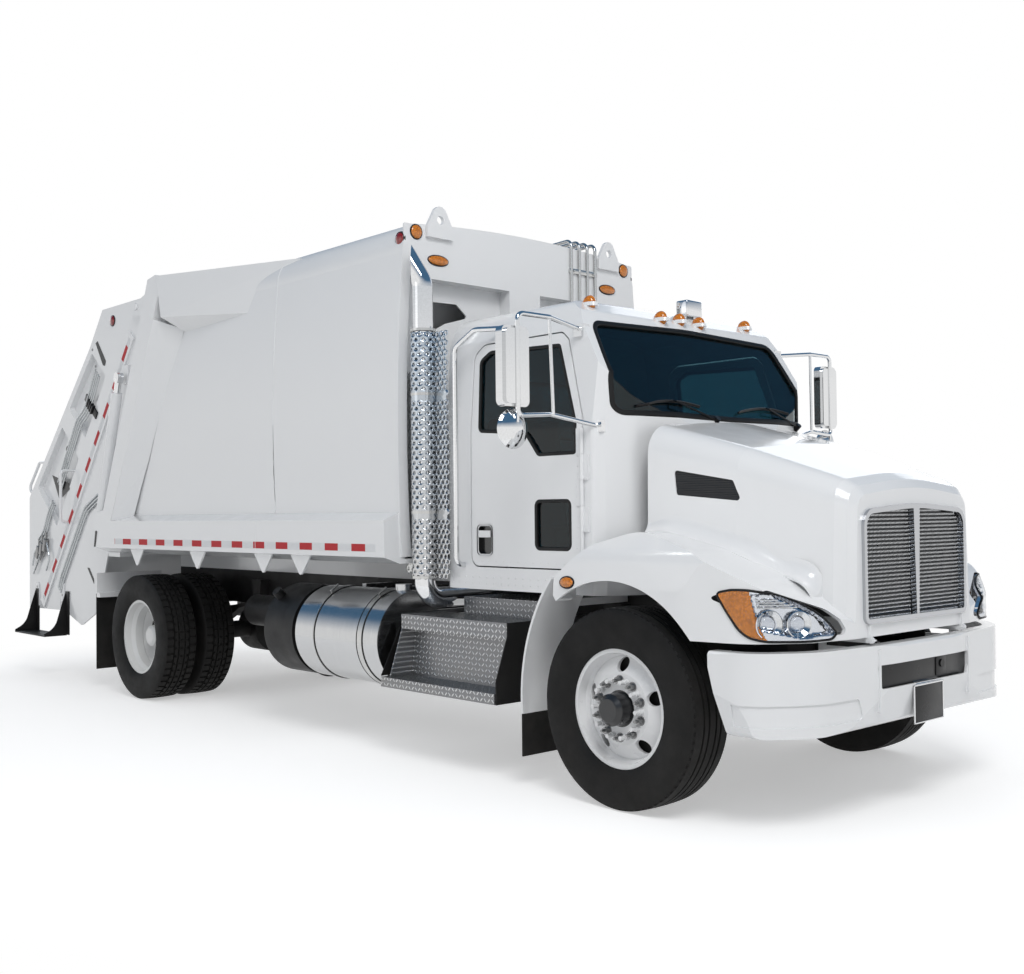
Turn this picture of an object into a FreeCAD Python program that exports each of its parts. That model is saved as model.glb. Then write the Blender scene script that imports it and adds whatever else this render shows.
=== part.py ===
import FreeCAD, Part
import math
import os

# Rear-loading garbage truck. Millimetres. +X forward, +Y to the truck's left, +Z up, ground at z = 0.
# The stations below are measured from the front axle; every solid is moved by originShift on export,
# which puts the origin at the bottom centre of the whole truck.

Vector = FreeCAD.Vector

# ---------------------------------------------------------------- driving dimensions
wheelBase = 5220.0
tyreRadius = 505.0
tyreWidth = 280.0
rimRadius = 298.0
rimWall = 11.0
frontTrackHalf = 1035.0
rearOuterHalf = 1075.0
dualSpacing = 343.0
kingpinHalf = 800.0
axleHeight = tyreRadius

railOuterHalf = 430.0
railWidth = 85.0
railHeight = 270.0
railWall = 9.0
railTop = 1030.0
frameFront = 800.0
frameRear = -5985.0

bumperFront = 1045.0
bumperTop = 838.0
bumperBottom = 450.0
bumperHalf = 1150.0
bumperWall = 12.0

cabFloor = 1040.0
cabRear = -1570.0
cabCowl = -120.0
cabHalf = 950.0
cabWall = 50.0
roofTop = 2720.0
doorFront = -410.0
doorRear = -1340.0
doorGap = 8.0
doorHinge = doorFront - doorGap / 2.0
hingeLow = 1240.0
hingeHigh = 1940.0
hingeKnuckles = 5
hingePin = 6.0
pocketDepth = 25.0
glassThickness = 6.0
glassSet = 14.0

hoodWall = 18.0
hoodBottom = 875.0
hoodPivot = Vector(1000.0, 0, 862.0)
hoodFront = 985.0
fenderHalf = 1150.0
archCentre = Vector(-60.0, 0, 500.0)
archRadius = 640.0

bodyFront = -1830.0
bodyHalf = 1219.0
bodyWall = 12.0
bodyRoofTop = 3349.0
bodyFloorTop = 1210.0
bodyFloorBottom = 1180.0
sideRailTop = 1450.0
sideRailBottom = 1222.0
rearTop = Vector(-4997.0, 0, 3390.0)
rearBottom = Vector(-5990.0, 0, 1230.0)
postWidth = 180.0
postInner = 1110.0

hingeX = -5380.0
hingeZ = 3230.0
hingePinRadius = 30.0
gatePlateOuter = 1090.0
gatePlateWall = 15.0
gateTop = 3310.0
gateRear = -7830.0
gateGap = 22.0
slideAngle = 50.6
slideStart = Vector(-5500.0, 0, 3070.0)
carrierTop = 250.0
carrierEnd = 1350.0
carrierTravel = 850.0
bladeLength = 655.0
bladeRest = 65.0
tubRadius = 700.0
tubWall = 10.0
sillHeight = 1000.0
stepHalf = 1300.0
stepRear = -7650.0
stepFront = -6930.0
stepTop = 402.0
loopRear = -7950.5

cylinderHalf = 1165.0
barrelRadius = 45.0
rodRadius = 28.0
eyeRadius = 46.0
liftBase = Vector(-6030.0, 0, 1440.0)
liftTop = Vector(-5650.0, 0, 2660.0)
pinRadius = 20.0
pinFit = 0.06

tankRadius = 310.0
tankFront = -1975.0
tankRear = -2905.0
tankHalf = 870.0
tankZ = 690.0

mirrorHalf = 1431.0
flapTop = 400.0

stackPlace = (-1702.0, -1015.0)
stackRadius = 63.5
stackTurn = math.sqrt(0.5)

originShift = -(bumperFront + loopRear) / 2.0

# ---------------------------------------------------------------- helpers
pieces = {}


def block(x0, x1, y0, y1, z0, z1):
    corner = Vector(min(x0, x1), min(y0, y1), min(z0, z1))
    return Part.makeBox(abs(x1 - x0), abs(y1 - y0), abs(z1 - z0), corner)


def rod(start, end, radius):
    return Part.makeCylinder(radius, (end - start).Length, start, end - start)


def tube(start, end, outer, inner):
    return rod(start, end, outer).cut(rod(start, end, inner))


def outline(points, place):
    """A closed wire through (u, v) points; a third number rounds that corner by an arc."""
    count = len(points)
    spots = [place(p[0], p[1]) for p in points]
    enter, leave, arcs = [], [], []
    for i, point in enumerate(points):
        spot = spots[i]
        if len(point) < 3:
            enter.append(spot)
            leave.append(spot)
            arcs.append(None)
            continue
        back = (spots[i - 1] - spot).normalize()
        ahead = (spots[(i + 1) % count] - spot).normalize()
        half = back.getAngle(ahead) / 2.0
        reach = point[2] / math.tan(half)
        middle = spot + (back + ahead).normalize() * (point[2] / math.sin(half) - point[2])
        enter.append(spot + back * reach)
        leave.append(spot + ahead * reach)
        arcs.append(middle)
    edges = []
    for i in range(count):
        if arcs[i] is not None:
            edges.append(Part.Arc(enter[i], arcs[i], leave[i]).toShape())
        after = enter[(i + 1) % count]
        if (after - leave[i]).Length > 1e-6:
            edges.append(Part.makeLine(leave[i], after))
    return Part.Wire(edges)


def sideProfile(points, y0, y1):
    wire = outline(points, lambda x, z: Vector(x, y0, z))
    return Part.Face(wire).extrude(Vector(0, y1 - y0, 0))


def frontProfile(points, x0, x1):
    wire = outline(points, lambda y, z: Vector(x0, y, z))
    return Part.Face(wire).extrude(Vector(x1 - x0, 0, 0))


def planProfile(points, z0, z1):
    wire = outline(points, lambda x, y: Vector(x, y, z0))
    return Part.Face(wire).extrude(Vector(0, 0, z1 - z0))


def fan(corners):
    """Triangles that cover a ring of corners."""
    return [Part.Face(Part.makePolygon([corners[0], a, b, corners[0]])) for a,
            b in zip(corners[1:], corners[2:])]


def prismoid(ringA, ringB):
    """A solid between two rings with as many corners, every face split into triangles."""
    faces = fan(ringA) + fan(ringB)
    count = len(ringA)
    for i in range(count):
        j = (i + 1) % count
        faces += fan([ringA[i], ringA[j], ringB[j]])
        faces += fan([ringA[i], ringB[j], ringB[i]])
    shell = Part.Shell(faces)
    shell.sewShape()
    solid = Part.Solid(shell)
    if solid.Volume < 0:
        solid.reverse()
    return solid


def turned(points, centre):
    """Revolve an outline of (y, radius) points round the Y axis through centre."""
    wire = outline(points, lambda y, r: Vector(centre.x, y, centre.z + r))
    return Part.Face(wire).revolve(Vector(centre.x, 0, centre.z), Vector(0, 1, 0), 360)


def bentRod(points, radius, bend):
    """A round bar along straight runs joined by tangent arcs."""
    edges = []
    start = points[0]
    for before, corner, after in zip(points, points[1:], points[2:]):
        back = (before - corner).normalize()
        ahead = (after - corner).normalize()
        half = back.getAngle(ahead) / 2.0
        reach = bend / math.tan(half)
        middle = corner + (back + ahead).normalize() * (bend / math.sin(half) - bend)
        edges.append(Part.makeLine(start, corner + back * reach))
        start = corner + ahead * reach
        edges.append(Part.Arc(corner + back * reach, middle, start).toShape())
    edges.append(Part.makeLine(start, points[-1]))
    section = Part.Wire(Part.makeCircle(radius, points[0], points[1] - points[0]))
    return Part.Wire(edges).makePipeShell([section], True, True)


def mirrored(shape):
    return shape.mirror(Vector(0, 0, 0), Vector(0, 1, 0))


def fused(shapes):
    result = shapes[0]
    if len(shapes) > 1:
        result = result.multiFuse(shapes[1:])
    return result.removeSplitter()


def add(node, *shapes):
    pieces.setdefault(node, []).extend(shapes)


def addPair(node, shape):
    """The same solid on the right and on the left of one node."""
    add(node, shape, mirrored(shape))


def addSides(node, shape):
    """The right solid and its left twin, each in a node of its own."""
    add(node + "_right", shape)
    add(node + "_left", mirrored(shape))


def rearLine(z, offset=0.0):
    """Station of the body's slanted rear edge at a height, moved back by offset."""
    share = (rearTop.z - z) / (rearTop.z - rearBottom.z)
    return rearTop.x + (rearBottom.x - rearTop.x) * share - offset


down = Vector(-math.cos(math.radians(slideAngle)), 0, -math.sin(math.radians(slideAngle)))
back = Vector(-math.sin(math.radians(slideAngle)), 0, math.cos(math.radians(slideAngle)))


def onTrack(along, off, y=0.0):
    """A point a distance down the carrier's track and off it to the rear."""
    spot = slideStart + down * along + back * off
    return Vector(spot.x, y, spot.z)


def trackBlock(s0, s1, n0, n1, y0, y1):
    """A bar that lies along the track."""
    corners = [onTrack(s, n, y0) for s, n in ((s0, n0), (s1, n0), (s1, n1), (s0, n1))]
    return Part.Face(Part.makePolygon(corners + corners[:1])).extrude(Vector(0, y1 - y0, 0))


# ---------------------------------------------------------------- wheels
def tyre(centre):
    """A tyre turned about the wheel's axis."""
    y, half = centre.y, tyreWidth / 2.0
    bead = rimRadius - 7.0
    points = [(y - 101, bead), (y - 101, bead + 12.5), (y - half * 0.9, bead + 40, 20),
              (y - half, bead + 110, 60),
              (y - half * 0.96, tyreRadius - 40, 40), (y - half * 0.84, tyreRadius, 12),
              (y + half * 0.84, tyreRadius, 12),
              (y + half * 0.96, tyreRadius - 40, 40), (y + half, bead + 110, 60),
              (y + half * 0.9, bead + 40, 20),
              (y + 101, bead + 12.5), (y + 101, bead)]
    return turned(points, centre)


def rimRing(centre):
    """The rolled barrel of a rim, with its two flanges."""
    y, half, seat = centre.y, 112.0, rimRadius - 7.5
    outer = [(y - half, rimRadius + 4), (y - half + 9, rimRadius + 4), (y - half + 9, seat),
             (y - half + 50, seat - 8),
             (y - half + 80, seat - 26), (y + half - 80, seat - 26), (y + half - 50, seat - 8),
             (y + half - 9, seat),
             (y + half - 9, rimRadius + 4), (y + half, rimRadius + 4)]
    inner = [(y + half, seat - rimWall), (y + half - 50, seat - 8 - rimWall),
             (y + half - 80, seat - 26 - rimWall),
             (y - half + 80, seat - 26 - rimWall), (y - half + 50, seat - 8 - rimWall),
             (y - half, seat - rimWall)]
    return turned(outer + inner, centre)


def roundHoles(centre, count, circle, radius, y0, y1, turn=0.0):
    """Round bars on a circle about the wheel's axis."""
    bars = []
    for i in range(count):
        angle = 2 * math.pi * (i + turn) / count
        x = centre.x + circle * math.cos(angle)
        z = centre.z + circle * math.sin(angle)
        bars.append(rod(Vector(x, y0, z), Vector(x, y1, z), radius))
    return bars


def frontWheel(centre):
    """A steer wheel: its disc domes outward and the hub stands proud of it."""
    y = centre.y
    well = rimRadius - 40.0
    disc = [(y - 96, 80), (y - 96, 182), (y - 66, 226), (y - 42, well), (y - 26, well), (y - 48, 220),
            (y - 80, 174), (y - 80, 80)]
    dish = turned(disc, centre).cut(Part.makeCompound(roundHoles(centre, 5, 218, 36, y - 120, y - 20, 0.25)))
    hub = [(y - 190, 0), (y - 190, 58, 8), (y - 168, 80), (y - 96, 82), (y - 90, 104), (y - 20, 104),
           (y - 20, spindleRadius),
           (y - 70, spindleRadius), (y - 70, 0)]
    nuts = roundHoles(centre, 10, 143, 15, y - 118, y - 90) + roundHoles(centre, 10, 143, 11, y - 150,
                                                                         y - 110)
    return fused([rimRing(centre), dish, turned(hub, centre)] + nuts)


def rearWheels(centre):
    """Twin wheels on one hub, both discs bolted at the gap between the tyres."""
    outer = centre.y
    inner = outer + dualSpacing
    flange = (outer + inner) / 2.0
    well = rimRadius - 40.0
    parts = []
    for y, side in ((outer, -1), (inner, 1)):
        start = flange + side * 0.5
        lip = y - side * 50
        points = [(start, 100), (start, 182), (start + side * 30, 226), (lip, well), (lip + side * 14, well),
                  (start + side * 46, 222), (start + side * 13, 174), (start + side * 13, 100)]
        disc = turned(points, centre)
        disc = disc.cut(Part.makeCompound(roundHoles(centre, 5, 216, 34, start - side * 5, start + side * 70,
                                                     0.25)))
        parts += [rimRing(Vector(centre.x, y, centre.z)), disc]
    hub = [(flange - 205, 0), (flange - 205, 62, 8), (flange - 190, 84), (flange - 25, 104),
           (flange + 60, 104),
           (flange + 60, rearSpindle), (flange - 60, rearSpindle), (flange - 60, 0)]
    parts.append(turned(hub, centre))
    parts += roundHoles(centre, 10, 143, 15, flange - 45, flange + 15)
    parts += roundHoles(centre, 10, 143, 9, flange - 62, flange - 40)
    return fused(parts)


def wheels():
    front = Vector(0, -frontTrackHalf, axleHeight)
    rear = Vector(-wheelBase, -rearOuterHalf, axleHeight)
    addSides("front_tyre", tyre(front))
    addSides("front_wheel", frontWheel(front))
    addSides("rear_wheels", rearWheels(rear))
    addSides("rear_tyres", tyre(rear))
    addSides("rear_tyres", tyre(rear + Vector(0, dualSpacing, 0)))


# ---------------------------------------------------------------- axles, springs and frame
spindleRadius = 34.0
rearSpindle = 62.0
kingpinRadius = 22.0
beamTop = 480.0
beamDepth = 92.0
springHalf = 475.0
springWidth = 76.0
rearSeatTop = 600.0


def frontAxle():
    """The steer axle: an I beam dropped between the spring seats, an upright eye at each end."""
    low = beamTop - beamDepth
    end = kingpinHalf - 20
    points = [(-end, 470), (-640, 455, 60), (-560, low, 60), (560, low, 60), (640, 455, 60), (end, 470),
              (end, 540),
              (640, 530, 60), (560, beamTop, 60), (-560, beamTop, 60), (-640, 530, 60), (-end, 540)]
    beam = frontProfile(points, -55, 55)
    for side in (-1, 1):
        beam = beam.cut(block(side * 16, side * 60, -540, 540, low + 18, beamTop - 18))
    for side in (-1, 1):
        foot = Vector(0, side * kingpinHalf, axleHeight - 50)
        beam = beam.fuse(rod(foot, foot + Vector(0, 0, 100), 42))
        beam = beam.fuse(block(-100, 100, side * (springHalf - 55), side * (springHalf + 55), beamTop - 4,
                               beamTop + 18))
    for side in (-1, 1):
        foot = Vector(0, side * kingpinHalf, axleHeight - 70)
        beam = beam.cut(rod(foot, foot + Vector(0, 0, 140), kingpinRadius))
    add("front_axle", beam.removeSplitter())


def knuckle():
    """A fork round the beam's eye, with the kingpin, the spindle and the steering arm."""
    y, z = -kingpinHalf, axleHeight
    pin = rod(Vector(0, y, z - 92), Vector(0, y, z + 92), kingpinRadius - pinFit)
    parts = [pin]
    for side in (-1, 1):
        parts.append(rod(Vector(0, y, z + side * 51), Vector(0, y, z + side * 86), 42))
        parts.append(block(-40, 40, y - 76, y, z + side * 51, z + side * 86))
    parts.append(block(-40, 40, y - 76, y - 50, z - 86, z + 86))
    parts.append(rod(Vector(0, y - 70, z), Vector(0, y - 96, z), 92))
    parts.append(rod(Vector(0, y - 90, z), Vector(0, -frontTrackHalf - 68, z), spindleRadius - pinFit))
    parts.append(planProfile([(40, y - 40), (-200, y - 10, 20), (-200, y + 40, 20), (0, y + 30)], z - 86,
                             z - 66))
    return fused(parts)


def rearAxle():
    """The drive axle: a banjo housing between two tubes, the spindles and the spring seats."""
    centre = Vector(-wheelBase, 0, axleHeight)
    banjo = rod(centre - Vector(150, 0, 0), centre + Vector(150, 0, 0),
                205).fuse(rod(centre - Vector(185, 0, 0), centre, 150))
    parts = [banjo, rod(centre, centre + Vector(330, 0, 0), 90), rod(centre, centre + Vector(370, 0, 0), 58)]
    flange = rearOuterHalf - dualSpacing / 2.0
    for side in (-1, 1):
        parts.append(rod(centre, centre + Vector(0, side * (flange - 66), 0), 72))
        parts.append(rod(centre + Vector(0, side * (flange - 80), 0),
                         centre + Vector(0, side * (flange + 56), 0), rearSpindle - pinFit))
        parts.append(rod(centre + Vector(0, side * 560, 0), centre + Vector(0, side * 575, 0), 190))
        parts.append(block(centre.x - 110, centre.x + 110, side * (springHalf - 50), side * (springHalf + 50),
                           axleHeight + 40, rearSeatTop))
    add("rear_axle", fused(parts))


def leafPack(x, half, bottom, depth, sag):
    """Leaves stacked over an axle: the longest leaf's ends are held by hangers on the rail."""
    y0, y1 = -springHalf - springWidth / 2.0, -springHalf + springWidth / 2.0
    top = bottom + depth
    steps = ((1.0, sag), (0.5, sag * 0.38), (0.0, 0.0), (-0.5, sag * 0.38), (-1.0, sag))
    upper = [(x + share * half, top + rise) for share, rise in steps]
    lower = [(x - half, top + sag - 22), (x - half * 0.6, top + sag * 0.5 - 36),
             (x - half * 0.25, bottom + 10),
             (x - 60, bottom), (x + 60, bottom), (x + half * 0.25, bottom + 10),
             (x + half * 0.6, top + sag * 0.5 - 36),
             (x + half, top + sag - 22)]
    parts = [sideProfile(upper + lower, y0, y1)]
    for end in (-1, 1):
        eye = x + end * half
        parts.append(sideProfile([(eye - 40, top + sag - 40), (eye + 40, top + sag - 40),
                                  (eye + 70, railTop - 70),
                                  (eye - 70, railTop - 70)], y0 + 4, -railOuterHalf))
    return fused(parts)


def frame():
    """Two channel rails joined by cross members."""
    top, bottom = railTop, railTop - railHeight
    outer, inner = railOuterHalf, railOuterHalf - railWidth
    section = [(outer, bottom), (outer, top), (inner, top), (inner, top - railWall),
               (outer - railWall, top - railWall),
               (outer - railWall, bottom + railWall), (inner, bottom + railWall), (inner, bottom)]
    left = frontProfile(section, frameRear, frameFront)
    rails = [left, mirrored(left)]
    reach = outer - railWall
    for x, deep in ((frameFront - 60, 150), (-1600, 150), (-2500, 170), (-3400, 170), (-4300, 170),
                    (frameRear + 40, 210)):
        rails.append(block(x - 5, x + 5, -reach, reach, top - railWall - deep, top - railWall))
        rails.append(block(x - 45, x + 45, -reach, reach, top - railWall - 9, top - railWall))
    add("frame_rails", fused(rails))
    addPair("leaf_springs", leafPack(0, 620, beamTop + 18, 60, 110))
    addPair("leaf_springs", leafPack(-wheelBase, 680, rearSeatTop, 110, 90))


def driveLine():
    """Engine and gearbox as one plain mass, the shaft back to the axle, the radiator in front."""
    engine = block(-95, 520, -300, 300, 700, 1450)
    gearbox = block(-1300, -95, -230, 230, 680, 1000)
    add("engine_block", fused([engine, gearbox, block(-500, -420, -railOuterHalf + railWall,
                                                      railOuterHalf - railWall, 800, 860)]))
    start = Vector(-1300.3, 0, 800)
    end = Vector(-wheelBase + 370.3, 0, axleHeight)
    along = (end - start).normalize()
    shaft = [rod(start + along * 60, end - along * 60, 48), rod(start, start + Vector(-100, 0, 0), 60),
             rod(end, end + Vector(100, 0, 0), 56)]
    add("drive_shaft", fused(shaft))
    parts = [block(600, 680, -340, 340, 880, 1480), block(585, 694, -400, 400, 1480, 1520),
             block(585, 694, -400, 400, 850, 880)]
    for side in (-1, 1):
        parts.append(block(600, 680, side * 300, side * (railOuterHalf - railWall), 800, 850))
    add("radiator", fused(parts))


# ---------------------------------------------------------------- bumper
bumperDepth = 480.0
bumperEdge = 22.0
creaseHeight = 655.0
bumperTuck = 40.0
chinDepth = 8.0
bumperRear = bumperFront - bumperDepth
bumperPlan = ((bumperRear, -bumperHalf), (bumperFront - 245, -bumperHalf + 15, 250),
              (bumperFront - 60, -880, 350),
              (bumperFront, -300, 1500), (bumperFront, 300, 1500), (bumperFront - 60, 880, 350),
              (bumperFront - 245, bumperHalf - 15, 250), (bumperRear, bumperHalf))
bumperSide = ((bumperRear, bumperTop), (bumperFront, bumperTop, bumperEdge), (bumperFront, creaseHeight, 120),
              (bumperFront - bumperTuck, bumperBottom, 30), (bumperRear, bumperBottom))
bumperEnds = ((-bumperHalf, bumperTop, bumperEdge), (bumperHalf, bumperTop, bumperEdge),
              (bumperHalf, creaseHeight, 120),
              (bumperHalf - bumperTuck, bumperBottom, 30), (-bumperHalf + bumperTuck, bumperBottom, 30),
              (-bumperHalf, creaseHeight, 120))


def shrunk(points, amount, place):
    """The face inside an outline, moved inward by an amount."""
    wire = outline(points, place)
    if amount:
        wire = wire.makeOffset2D(-amount)
    return Part.Face(wire)


def crossed(plan, side, front, inset):
    """The solid that three outlines enclose together, each moved inward."""
    top = shrunk(plan, inset, lambda x, y: Vector(x, y, 0)).extrude(Vector(0, 0, 3000))
    flank = shrunk(side, inset, lambda x, z: Vector(x, -1400, z)).extrude(Vector(0, 2800, 0))
    face = shrunk(front, inset, lambda y, z: Vector(-2000, y, z)).extrude(Vector(3400, 0, 0))
    return top.common(flank).common(face)


def openBack(form, shift):
    """A form together with its copy moved to the rear, which opens the wall behind it."""
    moved = form.copy()
    moved.translate(Vector(-shift, 0, 0))
    return form.fuse(moved)


def bumper():
    """A bowed shell with rolled edges, a recessed chin each side, and the arms back to the rails."""
    shell = crossed(bumperPlan, bumperSide, bumperEnds, 0)
    inside = openBack(crossed(bumperPlan, bumperSide, bumperEnds, bumperWall), 40)
    core = shrunk(bumperPlan, 70, lambda x, y: Vector(x, y, bumperBottom - 10)).extrude(Vector(0, 0,
                                                                                               bumperTop))
    slot = frontProfile([(-454, 742, 12), (-415, 628, 12), (415, 628, 12), (454, 742, 12)], bumperFront - 160,
                        bumperFront + 20)
    end = sideProfile([(bumperRear - 20, bumperBottom - 5), (bumperRear + 80, bumperBottom - 5),
                       (bumperRear - 20, bumperTop + 5)],
                      -bumperHalf - 20, bumperHalf + 20)
    shell = shell.cut(inside).cut(openBack(core, 100)).cut(slot).cut(end)
    band = crossed(bumperPlan, bumperSide, bumperEnds, -1).cut(crossed(bumperPlan, bumperSide, bumperEnds,
                                                                       chinDepth))
    for side in (-1, 1):
        chin = frontProfile([(side * 560, 500, 20), (side * 590, 600, 20), (side * 1200, 600),
                             (side * 1200, 500)],
                            bumperRear + 120, bumperFront + 20)
        shell = shell.cut(band.common(chin))
    parts = [shell]
    lowRail = railTop - railHeight
    for side in (-1, 1):
        y0, y1 = side * railOuterHalf, side * (railOuterHalf + 14)
        arm = sideProfile([(702, lowRail + 20), (702, lowRail + 60), (bumperFront - 6, lowRail + 60),
                           (bumperFront - 6, bumperBottom + 70), (bumperFront - 130, bumperBottom + 70)], y0,
                          y1)
        parts.append(arm)
        bracket = sideProfile([(702, 850), (702, 960), (790, 960), (940, 868), (1000, 868), (1018, 862),
                               (1000, 846), (940, 846),
                               (760, 846)], y0, y1)
        pin = rod(Vector(hoodPivot.x, y1, hoodPivot.z), Vector(hoodPivot.x, y1 + side * 20, hoodPivot.z),
                  10 - pinFit)
        parts += [bracket, pin, sideProfile([(702, 840), (702, 852), (770, 852), (770, 840)], y0, y1)]
        parts.append(block(702, 740, y0, y1, lowRail + 40, 900))
    add("front_bumper", fused(parts))


# ---------------------------------------------------------------- cab
cabSide = ((cabRear, cabFloor), (cabRear, 2610, 80), (-1480, 2705, 120), (-1000, roofTop, 900),
           (-640, 2690, 200),
           (-500, 2600, 60), (-145, 1995, 30), (cabCowl, 1930, 30), (cabCowl, cabFloor))
cabFront = ((-cabHalf, cabFloor), (-cabHalf, 1950, 300), (-905, 2500, 60), (-840, 2660, 100),
            (-500, roofTop, 900),
            (500, roofTop, 900), (840, 2660, 100), (905, 2500, 60), (cabHalf, 1950, 300), (cabHalf, cabFloor))
cabPlan = ((cabRear, -cabHalf, 40), (-345, -cabHalf, 30), (-300, -895, 60), (-215, -760, 200),
           (cabCowl - 10, -400, 600),
           (cabCowl - 10, 400, 600), (-215, 760, 200), (-300, 895, 60), (-345, cabHalf, 30),
           (cabRear, cabHalf, 40))


def cabForm(inset):
    """The cab's outer form moved inward: side, front and plan outlines crossed."""
    side = shrunk(cabSide, inset, lambda x, z: Vector(x, -1200, z)).extrude(Vector(0, 2400, 0))
    front = shrunk(cabFront, inset, lambda y, z: Vector(-1800, y, z)).extrude(Vector(2000, 0, 0))
    plan = shrunk(cabPlan, inset, lambda x, y: Vector(x, y, 900)).extrude(Vector(0, 0, 2000))
    return side.common(front).common(plan)


def doorOutline(gap):
    return [(doorRear + gap, 1170 + gap, 60), (doorRear + gap, 2430 - gap, 80), (-1250, 2486 - gap, 80),
            (-600, 2486 - gap, 50),
            (-545 - gap, 2440 - gap, 40), (doorFront - gap, 1990 - gap, 60),
            (doorFront - gap, 1170 + gap, 30)]


doorWindow = [(-1270, 1960, 40), (-1290, 2390, 50), (-1200, 2440, 80), (-612, 2420, 30), (-460, 1975, 20),
              (-460, 1800, 30), (-765, 1800, 40), (-870, 1930, 60)]
peepWindow = [(-795, 1275, 40), (-795, 1560, 40), (-505, 1560, 40), (-505, 1275, 40)]
handlePocket = [(-1275, 1248, 25), (-1275, 1411, 25), (-1157, 1411, 25), (-1157, 1248, 25)]
screenOutline = [(-832, 2535, 90), (-876, 2256, 900), (-862, 2003, 80), (0, 1993, 4000), (862, 2003, 80),
                 (876, 2256, 900), (832, 2535, 90), (0, 2560, 4000)]
rearOutline = [(-420, 1960, 40), (-420, 2330, 40), (420, 2330, 40), (420, 1960, 40)]


def cab():
    outer, inner = cabForm(0), cabForm(cabWall)
    screen = frontProfile(screenOutline, -800, 50)
    rearPane = frontProfile(rearOutline, cabRear - 50, cabRear + 200)
    shell = outer.cut(inner).cut(screen).cut(rearPane)
    for side in (-1, 1):
        shell = shell.cut(sideProfile(doorOutline(0), side * (cabHalf - 150), side * (cabHalf + 50)))
    skin = cabForm(glassSet).cut(cabForm(glassSet + glassThickness))
    door = outer.cut(inner).common(sideProfile(doorOutline(doorGap), -cabHalf - 50, -cabHalf + 150))
    window = sideProfile(doorWindow, -cabHalf - 50, -cabHalf + 150)
    peep = sideProfile(peepWindow, -cabHalf - 50, -cabHalf + 150)
    pocket = sideProfile(handlePocket, -cabHalf - 5, -cabHalf + pocketDepth)
    door = door.cut(window).cut(peep).cut(pocket)
    hingeY = -cabHalf - 11.5
    length = (hingeHigh - hingeLow) / hingeKnuckles
    doorLeaves, cabLeaves = [], []
    for i in range(hingeKnuckles):
        z0 = hingeLow + i * length + 1
        z1 = z0 + length - 2
        if i % 2:
            cabLeaves += [rod(Vector(doorHinge, hingeY, z0), Vector(doorHinge, hingeY, z1), 11),
                          block(doorHinge + 6, doorHinge + 45, hingeY + 4, -cabHalf + 1, z0, z1)]
        else:
            doorLeaves += [tube(Vector(doorHinge, hingeY, z0), Vector(doorHinge, hingeY, z1), 11, hingePin),
                           block(doorHinge - 45, doorHinge - 6, hingeY + 4, -cabHalf + 1, z0, z1)]
    cabLeaves.append(rod(Vector(doorHinge, hingeY, hingeLow), Vector(doorHinge, hingeY, hingeHigh),
                         hingePin - pinFit))
    handle = [block(-1266, -1166, -cabHalf - 6, -cabHalf + 4, 1345, 1385)]
    handle += [block(x, x + 14, -cabHalf - 6, -cabHalf + pocketDepth + 1, 1345, 1385) for x in (-1266, -1180)]
    addSides("door", fused([door] + handle + doorLeaves))
    addSides("door_glass", skin.common(window))
    addSides("door_glass", skin.common(peep))
    hinge = fused(cabLeaves)
    mounts = [block(x, x + 120, side * (railOuterHalf - 60), side * (railOuterHalf + 10), railTop,
                    cabFloor + 2)
              for side in (-1, 1) for x in (-450, -1540)]
    add("cab_shell", fused([shell, hinge, mirrored(hinge)] + mounts))
    add("cab_glass", skin.common(screen), skin.common(rearPane))


def seat(y):
    base = block(-1320, -900, y - 190, y + 190, cabFloor + cabWall, 1300)
    cushion = sideProfile([(-1340, 1300), (-860, 1300, 30), (-850, 1410, 40), (-1340, 1400)], y - 250,
                          y + 250)
    backRest = sideProfile([(-1380, 1380), (-1240, 1380), (-1310, 2060, 40), (-1440, 2060, 40)], y - 240,
                           y + 240)
    return fused([base, cushion, backRest])


def interior():
    """Seats, dashboard and steering wheel, as seen through the glass."""
    add("seats", seat(-480), seat(480))
    dash = sideProfile([(-175, 1450), (-520, 1500, 40), (-560, 1700, 60), (-470, 1850, 60), (-250, 1905, 40),
                        (-175, 1880)], -790, 790)
    dash = dash.common(cabForm(cabWall + 0.4))
    centre = Vector(-760, 480, 1790)
    tilt = Vector(0.5, 0, -0.86).normalize()
    column = rod(centre, centre + tilt * 330, 30)
    hub = rod(centre - tilt * 10, centre + tilt * 40, 55)
    rim = Part.makeTorus(225, 15, centre, tilt)
    across = Vector(0, 1, 0)
    upright = tilt.cross(across)
    spokes = [rod(centre + d * 40, centre + d * 222, 11) for d in (across, across * -1, upright)]
    stand = block(-620, -480, 440, 520, 1560, 1640)
    add("dashboard", fused([dash, column, hub, rim] + spokes + [stand]))


# ---------------------------------------------------------------- hood
noseTable = ((-112.0, 785.0, 778.0, 1945.0, 1995.0, 1430.0, 170.0),
             (420.0, 740.0, 705.0, 1795.0, 1852.0, 1150.0, 150.0),
             (hoodFront, 609.0, 572.0, 1596.0, 1653.0, 868.0, 125.0))
# columns: station, half width low, half width at the shoulder, shoulder height, ridge height, foot height,
# shoulder radius
noseStations = ((-112.0, 0.0), (420.0, 0.0), (900.0, 0.0), (955.0, 14.0), (hoodFront, 44.0))
# columns: station, how far the section is moved in there, which rounds the front edge
ridgeRadius = 2500.0
ventOutline = ((57, 1701, 15), (399, 1640, 15), (447, 1535, 15), (72, 1571, 15))
filletRadius = 85.0

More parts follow.
